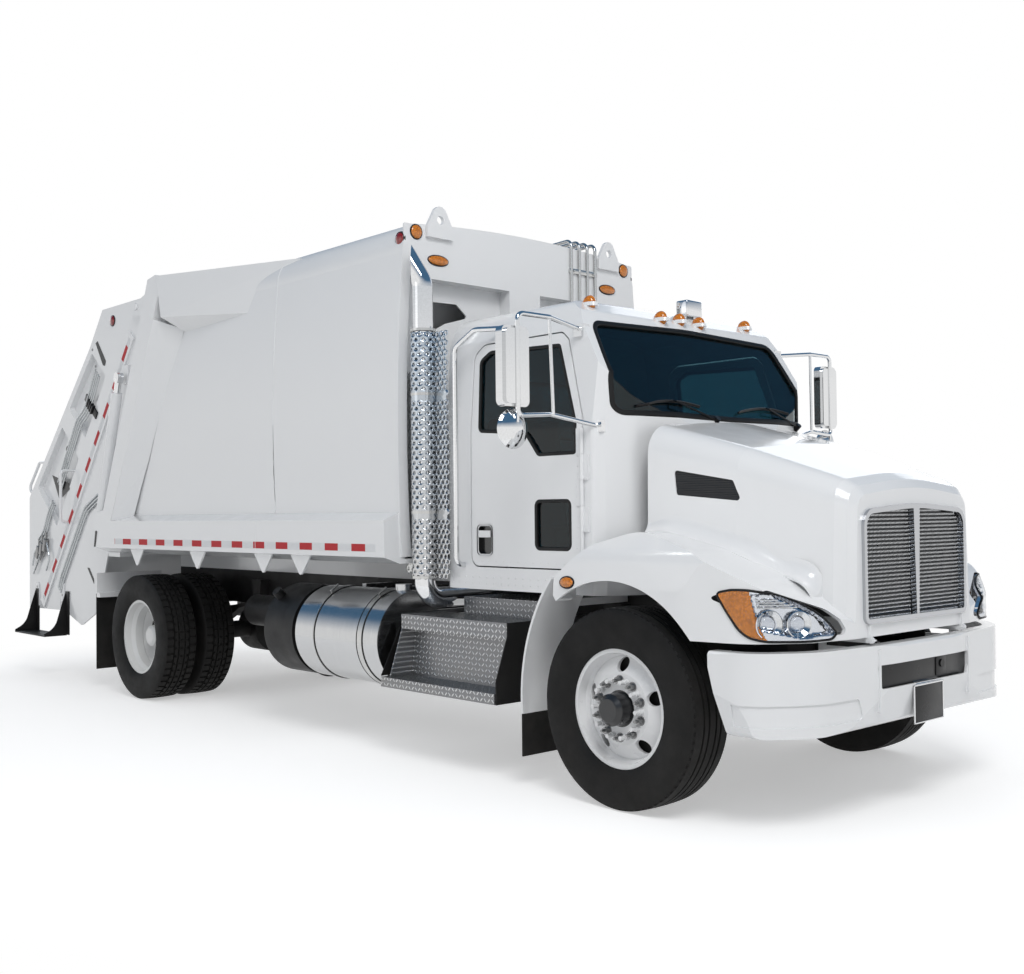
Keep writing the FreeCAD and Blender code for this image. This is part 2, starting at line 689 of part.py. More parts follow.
fenderSide = ((-452, 1050), (-446, 1150, 30), (-230, 1320, 150), (30, 1397, 400), (420, 1300, 500),
              (760, 1150, 300),
              (hoodFront, 960, 60), (hoodFront, hoodBottom), (560, hoodBottom), (200, 700), (-200, 700))
fenderFront = ((430, 1500), (800, 1470, 100), (980, 1400, 200), (1130, 1270, 120), (fenderHalf, 1110, 200),
               (fenderHalf, 600), (430, 600))
fenderPlan = ((-470, fenderHalf), (420, fenderHalf, 500), (760, 1090, 300), (930, 860, 250), (hoodFront, 560),
              (hoodFront, 400), (-470, 400))


def noseRow(x):
    """The nose's measures at a station, between the table's rows."""
    low, high = noseTable[:2] if x < noseTable[1][0] else noseTable[1:]
    share = (x - low[0]) / (high[0] - low[0])
    return [a + (b - a) * share for a, b in zip(low, high)]


def nose(inset):
    """The nose: rounded shoulders, a crowned top, and a front edge that turns in."""
    sections = []
    for x, turn in noseStations:
        row = noseRow(x)
        half, shoulder, shoulderZ, ridge, foot, radius = row[1:]
        gone = inset + turn
        points = [(-half + gone, foot - gone), (-shoulder + gone, shoulderZ - gone, radius - gone),
                  (0, ridge - gone, ridgeRadius), (shoulder - gone, shoulderZ - gone, radius - gone),
                  (half - gone, foot - gone)]
        sections.append(outline(points, lambda y, z: Vector(x, y, z)))
    return Part.makeLoft(sections, True, True)


def noseFillet():
    """The hollow curve between the nose's right side and the fender's top."""
    crest = shrunk(fenderSide, 0, lambda x, z: Vector(x, 0, z))
    sections = []
    for x in (-104, 20, 150, 290, 430, 570, 710, 850):
        top = crest.common(Part.makeLine(Vector(x, 0, 900), Vector(x, 0, 1700))).BoundBox.ZMax
        row = noseRow(x)
        half, shoulder, shoulderZ, ridge, foot, radius = row[1:]
        reach = filletRadius
        lean = (shoulder - half) / (shoulderZ - foot)
        base = half + lean * (top - foot)
        points = [(-base + 9, top + reach + 4), (-base + 9, top - 9), (-base - reach - 4, top - 9),
                  (-base - reach - 4, top),
                  (-base, top, reach), (-base - lean * (reach + 4), top + reach + 4)]
        sections.append(outline(points, lambda y, z: Vector(x, y, z)))
    return Part.makeLoft(sections, True, False)


def fenderForm(inset):
    side = shrunk(fenderSide, inset, lambda x, z: Vector(x, 350, z)).extrude(Vector(0, 900, 0))
    front = shrunk(fenderFront, inset, lambda y, z: Vector(-600, y, z)).extrude(Vector(1700, 0, 0))
    plan = shrunk(fenderPlan, inset, lambda x, y: Vector(x, y, 500)).extrude(Vector(0, 0, 1200))
    return side.common(front).common(plan)


def hood():
    outerFender, innerFender = fenderForm(0), fenderForm(hoodWall)
    fillet = noseFillet()
    outer = nose(0).fuse([outerFender, mirrored(outerFender)])
    hollow = nose(hoodWall).cut(block(hoodFront - hoodWall - 4, hoodFront + 50, -1300, 1300, 500, 2200))
    shell = outer.cut(hollow).cut(innerFender).cut(mirrored(innerFender))
    shell = shell.fuse([fillet, mirrored(fillet)])
    shell = shell.cut(block(-600, 1200, -1300, 1300, 300, hoodBottom))
    shell = shell.cut(block(cabCowl - 500, -104, -cabHalf - 8, cabHalf + 8, 800, 2200))
    shell = shell.cut(block(cabCowl - 500, -330, -cabHalf - 36, cabHalf + 36, 800, 2200))
    arch = rod(Vector(archCentre.x, -1400, archCentre.z), Vector(archCentre.x, 1400, archCentre.z),
               archRadius)
    shell = shell.cut(arch).cut(block(-600, hoodFront - hoodWall - 6, -470, 470, 520, 1487))
    shell = shell.cut(block(-440, 700, -1040, 1040, 500, 1130))
    grilleHole = frontProfile(grilleOutline, hoodFront - 120, hoodFront + 80)
    lampPrism = frontProfile(lampOutline, 560, 1200)
    lamp = fenderForm(0).cut(fenderForm(hoodWall + 12)).common(lampPrism)
    ventPrism = sideProfile(ventOutline, -900, -500)
    vent = nose(6).cut(nose(12)).common(ventPrism)
    for hole in (lampPrism, mirrored(lampPrism), ventPrism, mirrored(ventPrism), grilleHole):
        shell = shell.cut(hole)
    arms = []
    for side in (-1, 1):
        y0, y1 = side * (railOuterHalf + 16), side * (railOuterHalf + 30)
        arm = block(hoodFront - 12, hoodPivot.x, y0, y1, hoodPivot.z - 14, 932)
        arm = arm.fuse(rod(Vector(hoodPivot.x, y0, hoodPivot.z), Vector(hoodPivot.x, y1, hoodPivot.z), 16))
        hole = rod(Vector(hoodPivot.x, y0 - side * 40, hoodPivot.z),
                   Vector(hoodPivot.x, y1 + side * 40, hoodPivot.z), 10)
        arms.append(arm.cut(hole))
    return shell.fuse(arms), lamp, vent


grilleOutline = [(-497, 938, 40), (-500, 1486, 90), (0, 1520, 2500), (500, 1486, 90), (497, 938, 40)]
lampOutline = [(1140, 1108, 30), (1000, 1120, 60), (700, 1020, 50), (610, 905, 20), (900, 892),
               (1050, 930, 60)]
grilleRim = 24.0


def grille():
    """A framed panel in the hood's mouth, with a raised bar that narrows downward."""
    def place(y, z):
        return Vector(hoodFront - 38, y, z)

    outer = shrunk(grilleOutline, 0.2, place)
    ring = outer.cut(shrunk(grilleOutline, grilleRim, place)).extrude(Vector(54, 0, 0))
    panel = shrunk(grilleOutline, grilleRim - 1, place).extrude(Vector(8, 0, 0))
    bar = frontProfile([(-30, 1505), (-11, 950), (11, 950), (30, 1505)], hoodFront - 34, hoodFront + 12)
    return fused([ring, panel, bar])


def hoodParts():
    shell, lamp, vent = hood()
    add("hood", shell)
    addPair("headlamps", lamp)
    add("grille", grille())
    addPair("grille", vent)


# ---------------------------------------------------------------- refuse body
def bodySection(inset, foot):
    """Bowed walls, tight roof corners and a slightly crowned roof; the foot is the lower edge."""
    wall = [(1092 - inset, foot), (1112 - inset, 2307), (1067 - inset, 3110)]
    corner = [(1045 - inset * 0.9, 3215 - inset * 0.3), (975 - inset * 0.5, 3300 - inset)]
    crown = bodyRoofTop - inset

    def spot(point, side):
        return Vector(0, side * point[0], point[1])

    edges = [Part.Arc(*[spot(p, 1) for p in wall]).toShape(),
             Part.Arc(spot(wall[2], 1), spot(corner[0], 1), spot(corner[1], 1)).toShape(),
             Part.Arc(spot(corner[1], 1), Vector(0, 0, crown), spot(corner[1], -1)).toShape(),
             Part.Arc(spot(corner[1], -1), spot(corner[0], -1), spot(wall[2], -1)).toShape(),
             Part.Arc(*[spot(p, -1) for p in reversed(wall)]).toShape(),
             Part.makeLine(spot(wall[0], -1), spot(wall[0], 1))]
    return Part.Wire(edges)


def bodyForm(inset, foot, x0, x1):
    solid = Part.Face(bodySection(inset, foot)).extrude(Vector(x1 - x0, 0, 0))
    solid.translate(Vector(x0, 0, 0))
    return solid


def behindRear(offset):
    """Everything behind the body's slanted rear plane, moved back by offset."""
    return sideProfile([(rearLine(4200, offset), 4200), (rearLine(200, offset), 200), (-9500, 200),
                        (-9500, 4200)], -1500, 1500)


def rearPost():
    """The right corner post with the flare that joins it to the wall."""
    slope = [(-4807, 3258), (-5395, 2041), (-5811, sideRailBottom + 7)]
    top = [(rearTop.x, rearTop.z), (-4860, 3410)]
    post = sideProfile(slope + [(rearBottom.x, rearBottom.z)] + top, -bodyHalf, -postInner)
    levels = ((-4640, 1085, 2960, -4903, 3060), (-5105, 1100, 2032, -5395, 2041),
              (-5440, 1090, 1490, -5690, 1452))
    rings = [[Vector(wx, -wy, wz), Vector(px, -bodyHalf, pz), Vector(px - 10, -1080, pz)] for wx, wy, wz, px,
             pz in levels]
    flares = [prismoid(rings[0], rings[1]), prismoid(rings[1], rings[2])]
    front = [Vector(-3080, -940, 3290), Vector(-3080, -1003, 3283), Vector(-3625, -1073, 2962),
             Vector(-3630, -1050, 2958)]
    rear = [Vector(-4850, -950, 3395), Vector(-4850, -bodyHalf, 3400), Vector(-4770, -bodyHalf, 3060),
            Vector(-4610, -1075, 2930)]
    wedge = prismoid(front, rear)
    return post, flares, wedge


bulkheadDepth = 100.0
headerLow = 2970.0
columnSides = (-172.0, 112.0)
hatchOutline = ((-823, 2845, 15), (-553, 2851, 15), (-453, 2772, 15), (-650, 2715, 15), (-805, 2630, 15))


def bulkhead():
    """The front wall: a square-cornered frame, and a panel set back beside its column and under its header."""
    face, back = bodyFront, bodyFront - bulkheadDepth
    rim = bodyForm(0, sideRailBottom, face - bodyWall, face)
    shoulders = [(-1055, 2950), (-1055, 3296, 12), (-876, 3300), (0, 3344, 9000), (876, 3300),
                 (1055, 3296, 12), (1055, 2950)]
    rim = rim.fuse(frontProfile(shoulders, face - bodyWall, face))
    panel = bodyForm(bodyWall + 0.3, sideRailTop - 50, back - bodyWall, back)
    panel = panel.cut(block(back - 50, face, -1300, 1300, 1100, sideRailTop + 48.3))
    panel = panel.fuse(block(back - bodyWall, back, -1059.7, 1059.7, bodyFloorTop, sideRailTop + 50))
    bays = [block(back, face + 5, -1300, columnSides[0], bodyFloorTop + 60, headerLow),
            block(back, face + 5, columnSides[1], 1300, bodyFloorTop + 60, headerLow)]
    opening = bodyForm(70, bodyFloorTop + 60, back, face + 5)
    bays = [bay.common(opening) for bay in bays]
    linerForm = bodyForm(58, bodyFloorTop + 48, back - 5, face - bodyWall + 1)
    liners = [block(back - 5, face - bodyWall + 1, -1300, columnSides[0] + 12, bodyFloorTop + 48,
                    headerLow + 12),
              block(back - 5, face - bodyWall + 1, columnSides[1] - 12, 1300, bodyFloorTop + 48,
                    headerLow + 12)]
    liners = [liner.common(linerForm) for liner in liners]
    whole = fused([rim, panel] + liners)
    for cut in bays + [frontProfile(hatchOutline, back - bodyWall - 5, back + 5)]:
        whole = whole.cut(cut)
    return whole


def body():
    rearEnd = rearLine(bodyFloorBottom) - 50
    outer = bodyForm(0, sideRailTop, rearEnd, bodyFront)
    inner = bodyForm(bodyWall, sideRailTop - 50, rearEnd - 10, bodyFront + 10)
    behind = behindRear(0)
    post, flares, wedge = rearPost()
    solidBody = bodyForm(0, 1000, rearEnd - 500, bodyFront)
    corner = fused([post] + [part.cut(solidBody) for part in flares + [wedge]]).cut(behind)
    header = block(-5200, -4860, -postInner - 10, postInner + 10, 3200,
                   3392).cut(bodyForm(bodyWall, 2900, -5300, -4800)).cut(behind)
    sill = block(-5985, -5760, -postInner, postInner, sideRailBottom - 80, bodyFloorBottom).cut(behind)
    ears = []
    for side in (-1, 1):
        y0, y1 = side * 1112, side * 1136
        plate = sideProfile([(-4900, 3400), (-5361, 3273, 40), (hingeX - 70, hingeZ + 10, 40),
                             (hingeX - 20, hingeZ - 70, 40),
                             (-5130, 3120), (-4940, 3120)], y0, y1)
        ears += [plate, rod(Vector(hingeX, side * 1020, hingeZ), Vector(hingeX, side * 1150, hingeZ),
                            hingePinRadius - pinFit)]
        lug = sideProfile([(rearLine(1560) + 60, 1560), (liftBase.x - 45, liftBase.z + 50, 30),
                           (liftBase.x - 45, liftBase.z - 50, 30),
                           (rearLine(1340) + 60, 1340)], side * (bodyHalf - 14), side * bodyHalf)
        pin = rod(Vector(liftBase.x, side * (bodyHalf - 2), liftBase.z),
                  Vector(liftBase.x, side * (cylinderHalf - 30), liftBase.z),
                  pinRadius - pinFit)
        ears += [lug, pin]
    frameSolid = fused([corner, mirrored(corner), header, sill] + ears)
    add("body_rear_frame", frameSolid)
    walls = outer.cut(inner).cut(behind)
    bulkSkin = block(bodyFront - bodyWall, bodyFront + 10, -1300, 1300, 1000, 3500)
    walls = walls.cut(bulkSkin).cut(frameSolid)
    crownBox = block(rearEnd - 100, bodyFront, -960, 960, 3200, 3500)
    add("body_roof", *[part for part in walls.common(crownBox).Solids if part.Volume > 1e6])
    for part in walls.cut(crownBox).Solids:
        if part.Volume > 1e6:
            add("body_sides", part)
    eyes = []
    for side in (-1, 1):
        y = side * 783
        ear = frontProfile([(y - 105, 3230), (y - 105, 3300), (y - 42, 3415, 20), (y - 15, 3432, 15),
                            (y + 15, 3432, 15), (y + 42, 3415, 20),
                            (y + 105, 3300), (y + 105, 3230)], bodyFront, bodyFront + 25)
        eyes.append(ear.cut(rod(Vector(bodyFront - 5, y, 3346), Vector(bodyFront + 30, y, 3346), 27)))
    add("body_bulkhead", fused([bulkhead()] + eyes))
    floorBack = rearLine(bodyFloorTop)
    floorPlate = block(floorBack, bodyFront - bodyWall, -1060, 1060, bodyFloorBottom, bodyFloorTop)
    railSection = [(bodyHalf, sideRailBottom), (bodyHalf, sideRailTop), (1092, sideRailTop + 48),
                   (1060, sideRailTop + 48), (1060, bodyFloorBottom),
                   (1100, bodyFloorBottom)]
    sideRail = frontProfile(railSection, floorBack, bodyFront - bodyWall)
    skirt = frontProfile([(1180, sideRailBottom - 8), (1180, sideRailBottom - 16), (700, 1086), (430, 1086),
                          (430, 1094), (698, 1094)],
                         -5500, bodyFront - bodyWall)
    sills = [block(frameRear, bodyFront - bodyWall, side * (railOuterHalf - 80), side * railOuterHalf,
                   railTop, bodyFloorBottom) for side in (-1, 1)]
    gussets = []
    for x in (-2806, -3281, -4231, -5247):
        tab = sideProfile([(x - 125, sideRailBottom), (x + 125, sideRailBottom), (x + 12, 1088, 20),
                           (x - 12, 1088, 20)], -bodyHalf + 20, -bodyHalf + 32)
        gussets += [tab, mirrored(tab)]
    under = fused([floorPlate, sideRail, mirrored(sideRail)] + sills + gussets)
    clearance = bodyForm(-0.4, sideRailTop, rearEnd, bodyFront).cut(bodyForm(bodyWall + 0.4, sideRailTop - 50,
                                                                             rearEnd - 10, bodyFront + 10))
    under = under.cut(behind).cut(frameSolid).cut(clearance)
    add("body_floor", *[s for s in under.Solids if s.Volume > 1e6])


def ejector():
    """The panel that pushes the load out: slanted like the body's rear, with shoes on the floor."""
    shape = sideProfile([(-1980, 3170), (-2060, 3170), (-2060 - 880, bodyFloorTop + 8),
                         (-2060 - 700, bodyFloorTop + 8)], -1200, 1200)
    plate = shape.common(bodyForm(bodyWall + 20, bodyFloorTop, -3300, -1850))
    shoes = [block(-2880, -2600, side * 700, side * 900, bodyFloorTop + 0.3,
                   bodyFloorTop + 60) for side in (-1, 1)]
    corners = [block(-4000, -1500, side * 1050, side * 1300, 1100, sideRailTop + 56) for side in (-1, 1)]
    add("ejector_panel", fused([plate.cut(corners[0]).cut(corners[1])] + shoes))


# ---------------------------------------------------------------- tailgate
gateBays = (((640, 228), (640, 590), (1315, 680), (1315, 228)),
            ((1545, 228), (1545, 712), (2345, 812), (2345, 228)))
# corners of the pockets pressed into the side plates: distance down the track, distance behind it
bayDepth = 52.0
bayWall = 8.0
slideCylinder = 1003.0


def tailgate():
    pivot = onTrack(carrierEnd + carrierTravel, 0)
    frontLow = rearLine(660, gateGap)
    points = [(hingeX + 258, gateTop), (-6140, gateTop, 20), (-6410, 3000, 60), (gateRear, 1683, 60),
              (gateRear, 607), (-6980, 620),
              (-6600, 505, 60), (frontLow, 640), (rearLine(3190, gateGap), 3190)]
    inner = gatePlateOuter - gatePlateWall
    parts = []
    for side in (-1, 1):
        plate = sideProfile(points, side * inner, side * gatePlateOuter)
        for corners in gateBays:
            bay = [(onTrack(along, off).x, onTrack(along, off).z, 20) for along, off in corners]
            floor = side * (gatePlateOuter - bayDepth)
            walls = shrunk(bay, -bayWall, lambda x, z: Vector(x, floor - side * bayWall, z))
            walls = walls.extrude(Vector(0, side * (bayDepth + bayWall - gatePlateWall + 1), 0))
            hollow = sideProfile(bay, floor, side * (gatePlateOuter + 5))
            plate = plate.fuse(walls).cut(hollow)
        plate = plate.cut(rod(Vector(hingeX, side * (inner - 50), hingeZ),
                              Vector(hingeX, side * (gatePlateOuter + 50), hingeZ), hingePinRadius))
        parts.append(plate)
        boss = tube(Vector(hingeX, side * (inner - 40), hingeZ), Vector(hingeX, side * inner, hingeZ), 62,
                    hingePinRadius)
        parts.append(boss)
        strip = trackBlock(60, 3120, -55, 55, side * gatePlateOuter, side * (gatePlateOuter + 16))
        parts.append(strip)
        for n0, n1 in ((-95, -70), (70, 95)):
            parts.append(trackBlock(200, 2290, n0, n1, side * (inner - 36), side * inner))
        lug = sideProfile([(liftTop.x - 60, liftTop.z + 110), (liftTop.x + 70, liftTop.z + 110),
                           (liftTop.x + 50, liftTop.z - 50, 30),
                           (liftTop.x - 50, liftTop.z - 50, 30)], side * gatePlateOuter,
                          side * (gatePlateOuter + 24))
        parts.append(lug)
        barrel = tube(onTrack(60, 150, side * slideCylinder), onTrack(1010, 150, side * slideCylinder),
                      barrelRadius, rodRadius + pinFit)
        cap = rod(onTrack(30, 150, side * slideCylinder), onTrack(70, 150, side * slideCylinder),
                  barrelRadius)
        feet = [trackBlock(s, s + 50, 120, 180, side * (slideCylinder + 36), side * inner) for s in (60, 900)]
        add("slide_barrels", fused([barrel, cap] + feet))

        def flangePlace(x, z):
            return Vector(x, side * (inner - 70), z)

        ring = shrunk(points, 0, flangePlace).cut(shrunk(points, 14, flangePlace))
        parts.append(ring.extrude(Vector(0, side * 70, 0)).common(block(-9000, -6890, -1300, 1300, 400,
                                                                        2535)))
    cover = sideProfile([(hingeX + 200, gateTop), (-6140, gateTop), (-6410, 3000), (-6900, 2546),
                         (-6892, 2537), (-6404, 2989),
                         (-6134, gateTop - 12), (hingeX + 200, gateTop - 12)], -inner, inner)
    beam = trackBlock(-40, 20, -60, 120, -inner, inner)
    parts += [cover, beam]
    gateFrame = fused(parts)
    add("tailgate_frame", gateFrame)
    x, z = pivot.x, pivot.z
    outer, innerR = tubRadius + tubWall, tubRadius

    def arcPoint(radius, level, side):
        return (x + side * math.sqrt(radius ** 2 - (z - level) ** 2), level)

    lip = arcPoint(innerR, bodyFloorTop, 1)
    lipOuter = arcPoint(outer, bodyFloorTop, 1)
    rearIn = arcPoint(innerR, sillHeight - 12, -1)
    rearOut = arcPoint(outer, sillHeight - 12, -1)

    def place(point):
        return Vector(point[0], -inner, point[1])

    edges = [Part.Arc(place(lip), Vector(x, -inner, z - innerR), place(rearIn)).toShape(),
             Part.makeLine(place(rearIn), place(rearOut)),
             Part.Arc(place(rearOut), Vector(x, -inner, z - outer), place(lipOuter)).toShape(),
             Part.makeLine(place(lipOuter), place(lip))]
    tub = Part.Face(Part.Wire(edges)).extrude(Vector(0, 2 * inner, 0))
    ramp = sideProfile([(lip[0] - 2, bodyFloorTop), (rearLine(bodyFloorTop, gateGap), bodyFloorTop),
                        (rearLine(bodyFloorTop - 12, gateGap), bodyFloorTop - 12),
                        (lipOuter[0] - 2, bodyFloorTop - 12)], -inner, inner)
    sillBox = sideProfile([(rearIn[0] + 2, sillHeight), (gateRear + 30, sillHeight, 20), (gateRear + 30, 650),
                           (gateRear + 42, 650),
                           (gateRear + 42, sillHeight - 30), (rearOut[0] - 2, sillHeight - 12)], -inner,
                          inner)
    apron = sideProfile([(gateRear + 42, 650), (gateRear + 42, 662), (-7300, 662), (-7300, 650)], -inner,
                        inner)
    lowBeam = block(frontLow - 80, frontLow - 12, -inner, inner, 660, 780)
    add("tailgate_hopper", fused([tub, ramp, sillBox, apron]))
    add("tailgate_hopper", lowBeam)
    loopCorner = loopRear - 55.5
    rearLoop = bentRod([Vector(-7780, -1040, 1735), Vector(loopCorner, -1040, 1735),
                        Vector(-7700, -1040, 2020), Vector(-7480, -1040, 2020)], 14, 45)
    addPair("grab_loops", rearLoop.cut(gateFrame))
    sideLoop = bentRod([Vector(-6860, bayDepth - gatePlateOuter, 1915),
                        Vector(-6860, -gatePlateOuter - 85, 1915), Vector(-6860, -gatePlateOuter - 85, 1440),
                        Vector(-6860, -gatePlateOuter, 1440)], 13, 40)
    addPair("grab_loops", sideLoop.cut(gateFrame))


def ridingSteps():
    """A tread each side, held off the side plate by two curved gussets."""
    tread = block(stepRear, stepFront, -stepHalf, -gatePlateOuter - 2, stepTop - 10, stepTop)
    parts = [tread]
    for x in (stepRear, stepFront - 8):
        gusset = frontProfile([(-gatePlateOuter - 12, 790), (-gatePlateOuter - 12, stepTop - 10),
                               (-stepHalf, stepTop - 10), (-stepHalf, stepTop + 15),
                               (-1200, 470, 160), (-1150, 640)], x, x + 8)
        back = block(x, x + 70, -gatePlateOuter - 12, -gatePlateOuter, 400, 800)
        parts += [gusset, back]
    addPair("riding_steps", fused(parts))


def lifts():
    """The tailgate's cylinders: the barrel turns on the post's pin, the rod ends beside the lug."""
    along = (liftTop - liftBase).normalize()
    length = (liftTop - liftBase).Length

    def at(distance):
        spot = liftBase + along * distance
        return Vector(spot.x, -cylinderHalf, spot.z)

    eye = rod(Vector(liftBase.x, -cylinderHalf - 32, liftBase.z),
              Vector(liftBase.x, -cylinderHalf + 32, liftBase.z), eyeRadius)
    barrelEnd = length - 130
    barrel = rod(at(20), at(90), 30).fuse(rod(at(85), at(barrelEnd), barrelRadius))
    barrel = barrel.cut(rod(at(120), at(barrelEnd + 1), rodRadius + pinFit))
    hole = rod(Vector(liftBase.x, -cylinderHalf - 90, liftBase.z),
               Vector(liftBase.x, -cylinderHalf + 90, liftBase.z), pinRadius)
    addSides("lift_barrel", fused([eye, barrel]).cut(hole))
    head = rod(Vector(liftTop.x, -cylinderHalf - 26, liftTop.z),
               Vector(liftTop.x, -cylinderHalf + 26, liftTop.z), eyeRadius)
    addSides("lift_rod", fused([head, rod(at(140), at(length), rodRadius)]))


packTopLift = 130.0
packerHalf = 560.0
leverRadius = 260.0
leverAngle = 115.0
bladePivot = onTrack(carrierEnd, 0)
packTop = onTrack(carrierEnd - 1000, packTopLift + 30)


def atAngle(centre, radius, degrees):
    turn = math.radians(degrees)
    return Vector(centre.x + radius * math.cos(turn), centre.y, centre.z + radius * math.sin(turn))


def carrier():
    """The slide panel: plate and ribs between shoes that run in the side plates' tracks."""
    inner = gatePlateOuter - gatePlateWall
    plate = trackBlock(carrierTop, carrierEnd - 110, -60, -30, -930, 930)
    ribs = [trackBlock(carrierTop, carrierEnd - 110, -40, 50, y - 12, y + 12) for y in (-918, -640, -300, 0,
                                                                                        300, 640, 918)]
    ties = [trackBlock(s, s + 60, -40, 36, -930, 930) for s in (carrierTop, carrierEnd - 170)]
    parts = [plate] + ribs + ties
    for side in (-1, 1):
        for s in (carrierTop, carrierEnd - 240):
            parts.append(trackBlock(s, s + 140, -69.7, 69.7, side * 930, side * (inner - 5)))
        arm = trackBlock(carrierEnd - 190, carrierEnd - 110, 40, 190, side * 925, side * 1033)
        parts.append(arm)
        parts.append(rod(onTrack(100, 150, side * slideCylinder),
                         onTrack(carrierEnd - 150, 150, side * slideCylinder), rodRadius))
        for y in (side * 880, side * 400, side * 130):
            plateEar = trackBlock(carrierEnd - 120, carrierEnd - 20, -45, 45, y - 14, y + 14)
            ear = plateEar.fuse(rod(Vector(bladePivot.x, y - 14, bladePivot.z),
                                    Vector(bladePivot.x, y + 14, bladePivot.z), 60))
            parts.append(ear)
            parts.append(rod(Vector(bladePivot.x, y - 50, bladePivot.z),
                             Vector(bladePivot.x, y + 50, bladePivot.z), 28 - pinFit))
        for y in (side * (packerHalf - 57), side * (packerHalf + 57)):
            clevis = trackBlock(carrierTop + 60, carrierTop + 160, -45, packTopLift + 30, y - 9, y + 9)
            parts.append(clevis.fuse(rod(Vector(packTop.x, y - 9, packTop.z),
                                         Vector(packTop.x, y + 9, packTop.z), 48)))
        parts.append(rod(Vector(packTop.x, side * (packerHalf - 62), packTop.z),
                         Vector(packTop.x, side * (packerHalf + 62), packTop.z),
                         pinRadius - pinFit))
    add("carrier_panel", fused(parts))


def blade():
    """The packing blade: a bent plate with ribs, hubs on the carrier's pins and two levers."""
    face = -bladeRest
    tip = atAngle(bladePivot, bladeLength, face)
    rootFront = atAngle(bladePivot, 75, face + 90)
    rootBack = atAngle(bladePivot, 75, face - 90)
    knee = atAngle(bladePivot, bladeLength * 0.6, face - 15)
    heel = atAngle(bladePivot, bladeLength - 8, face - 4)
    points = [(spot.x, spot.z) for spot in (rootFront, tip, heel, knee, rootBack)]
    parts = [sideProfile(points, -1020, 1020), rod(Vector(bladePivot.x, -1020, bladePivot.z),
                                                   Vector(bladePivot.x, 1020, bladePivot.z), 75)]
    for side in (-1, 1):
        lever = atAngle(bladePivot, leverRadius, face - leverAngle)
        turn = face - leverAngle
        corners = [atAngle(bladePivot, 60, turn + 90), atAngle(lever, 34, turn + 45),
                   atAngle(lever, 34, turn - 45), atAngle(bladePivot, 60, turn - 90)]
        arm = sideProfile([(p.x, p.z) for p in corners], side * (packerHalf - 70), side * (packerHalf - 42))
        parts.append(arm)
    shape = fused(parts)
    cuts = [rod(Vector(bladePivot.x, -1100, bladePivot.z), Vector(bladePivot.x, 1100, bladePivot.z), 28)]
    for y in (-880, -400, -130, 130, 400, 880):
        cuts.append(rod(Vector(bladePivot.x, y - 20, bladePivot.z),
                        Vector(bladePivot.x, y + 20, bladePivot.z), 92))
    add("packer_blade", shape.cut(Part.makeCompound(cuts)))


def packers():
    """The blade's two cylinders: barrels on the carrier's pins, rods ending beside the levers."""
    lever = atAngle(bladePivot, leverRadius, -bladeRest - leverAngle)
    along = (lever - packTop).normalize()
    length = (lever - packTop).Length
    for side in (-1, 1):
        y = side * packerHalf

        def at(distance):
            spot = packTop + along * distance
            return Vector(spot.x, y, spot.z)

        eye = rod(Vector(packTop.x, y - 30, packTop.z), Vector(packTop.x, y + 30, packTop.z), 44)
        barrel = rod(at(20), at(760), 42).cut(rod(at(60), at(761), 24 + pinFit))
        hole = rod(Vector(packTop.x, y - 80, packTop.z), Vector(packTop.x, y + 80, packTop.z), pinRadius)
        add("packer_barrels", fused([eye, barrel]).cut(hole))
        head = rod(Vector(lever.x, y - 28, lever.z), Vector(lever.x, y + 28, lever.z), 42)
        add("packer_rods", fused([head, rod(at(470), at(length), 24)]))


# ---------------------------------------------------------------- tanks, steps, exhaust, rails, mirrors
def tanks():
    tank = rod(Vector(tankRear, -tankHalf, tankZ), Vector(tankFront, -tankHalf, tankZ), tankRadius)
    neck = rod(Vector(tankFront - 130, -tankHalf, tankZ + tankRadius - 10),
               Vector(tankFront - 130, -tankHalf, tankZ + tankRadius + 35), 55)
    add("fuel_tank", fused([tank, neck]))
    for x in (tankRear + 200, tankFront - 240):
        strap = tube(Vector(x - 22, -tankHalf, tankZ), Vector(x + 22, -tankHalf, tankZ), tankRadius + 6,
                     tankRadius + 0.3)
        bracket = block(x - 22, x + 22, -tankHalf + 120, -railOuterHalf, tankZ - tankRadius - 6, railTop - 20)
        bracket = bracket.cut(rod(Vector(x - 50, -tankHalf, tankZ), Vector(x + 50, -tankHalf, tankZ),
                                  tankRadius + 0.3))
        add("fuel_tank", fused([strap, bracket]))
    add("urea_tank", fused([rod(Vector(tankRear - 400, -tankHalf, tankZ),
                                Vector(tankRear - 40, -tankHalf, tankZ), tankRadius),
                            rod(Vector(tankRear - 330, -tankHalf - 180, tankZ + 200),
                                Vector(tankRear - 330, -tankHalf - 250, tankZ + 270), 36),
                            block(tankRear - 300, tankRear - 140, -tankHalf + 100, -railOuterHalf, tankZ + 60,
                                  tankZ + 200)]))
    for x0, x1, y in ((-4300, -3500, -640), (-3000, -2100, 640), (-4200, -3300, 640)):
        side = 1 if y > 0 else -1
        hangers = [block(x - 20, x + 20, side * railOuterHalf, y, 760, 860) for x in (x0 + 150, x1 - 150)]
        add("air_tanks", fused([rod(Vector(x0, y, 740), Vector(x1, y, 740), 120)] + hangers))


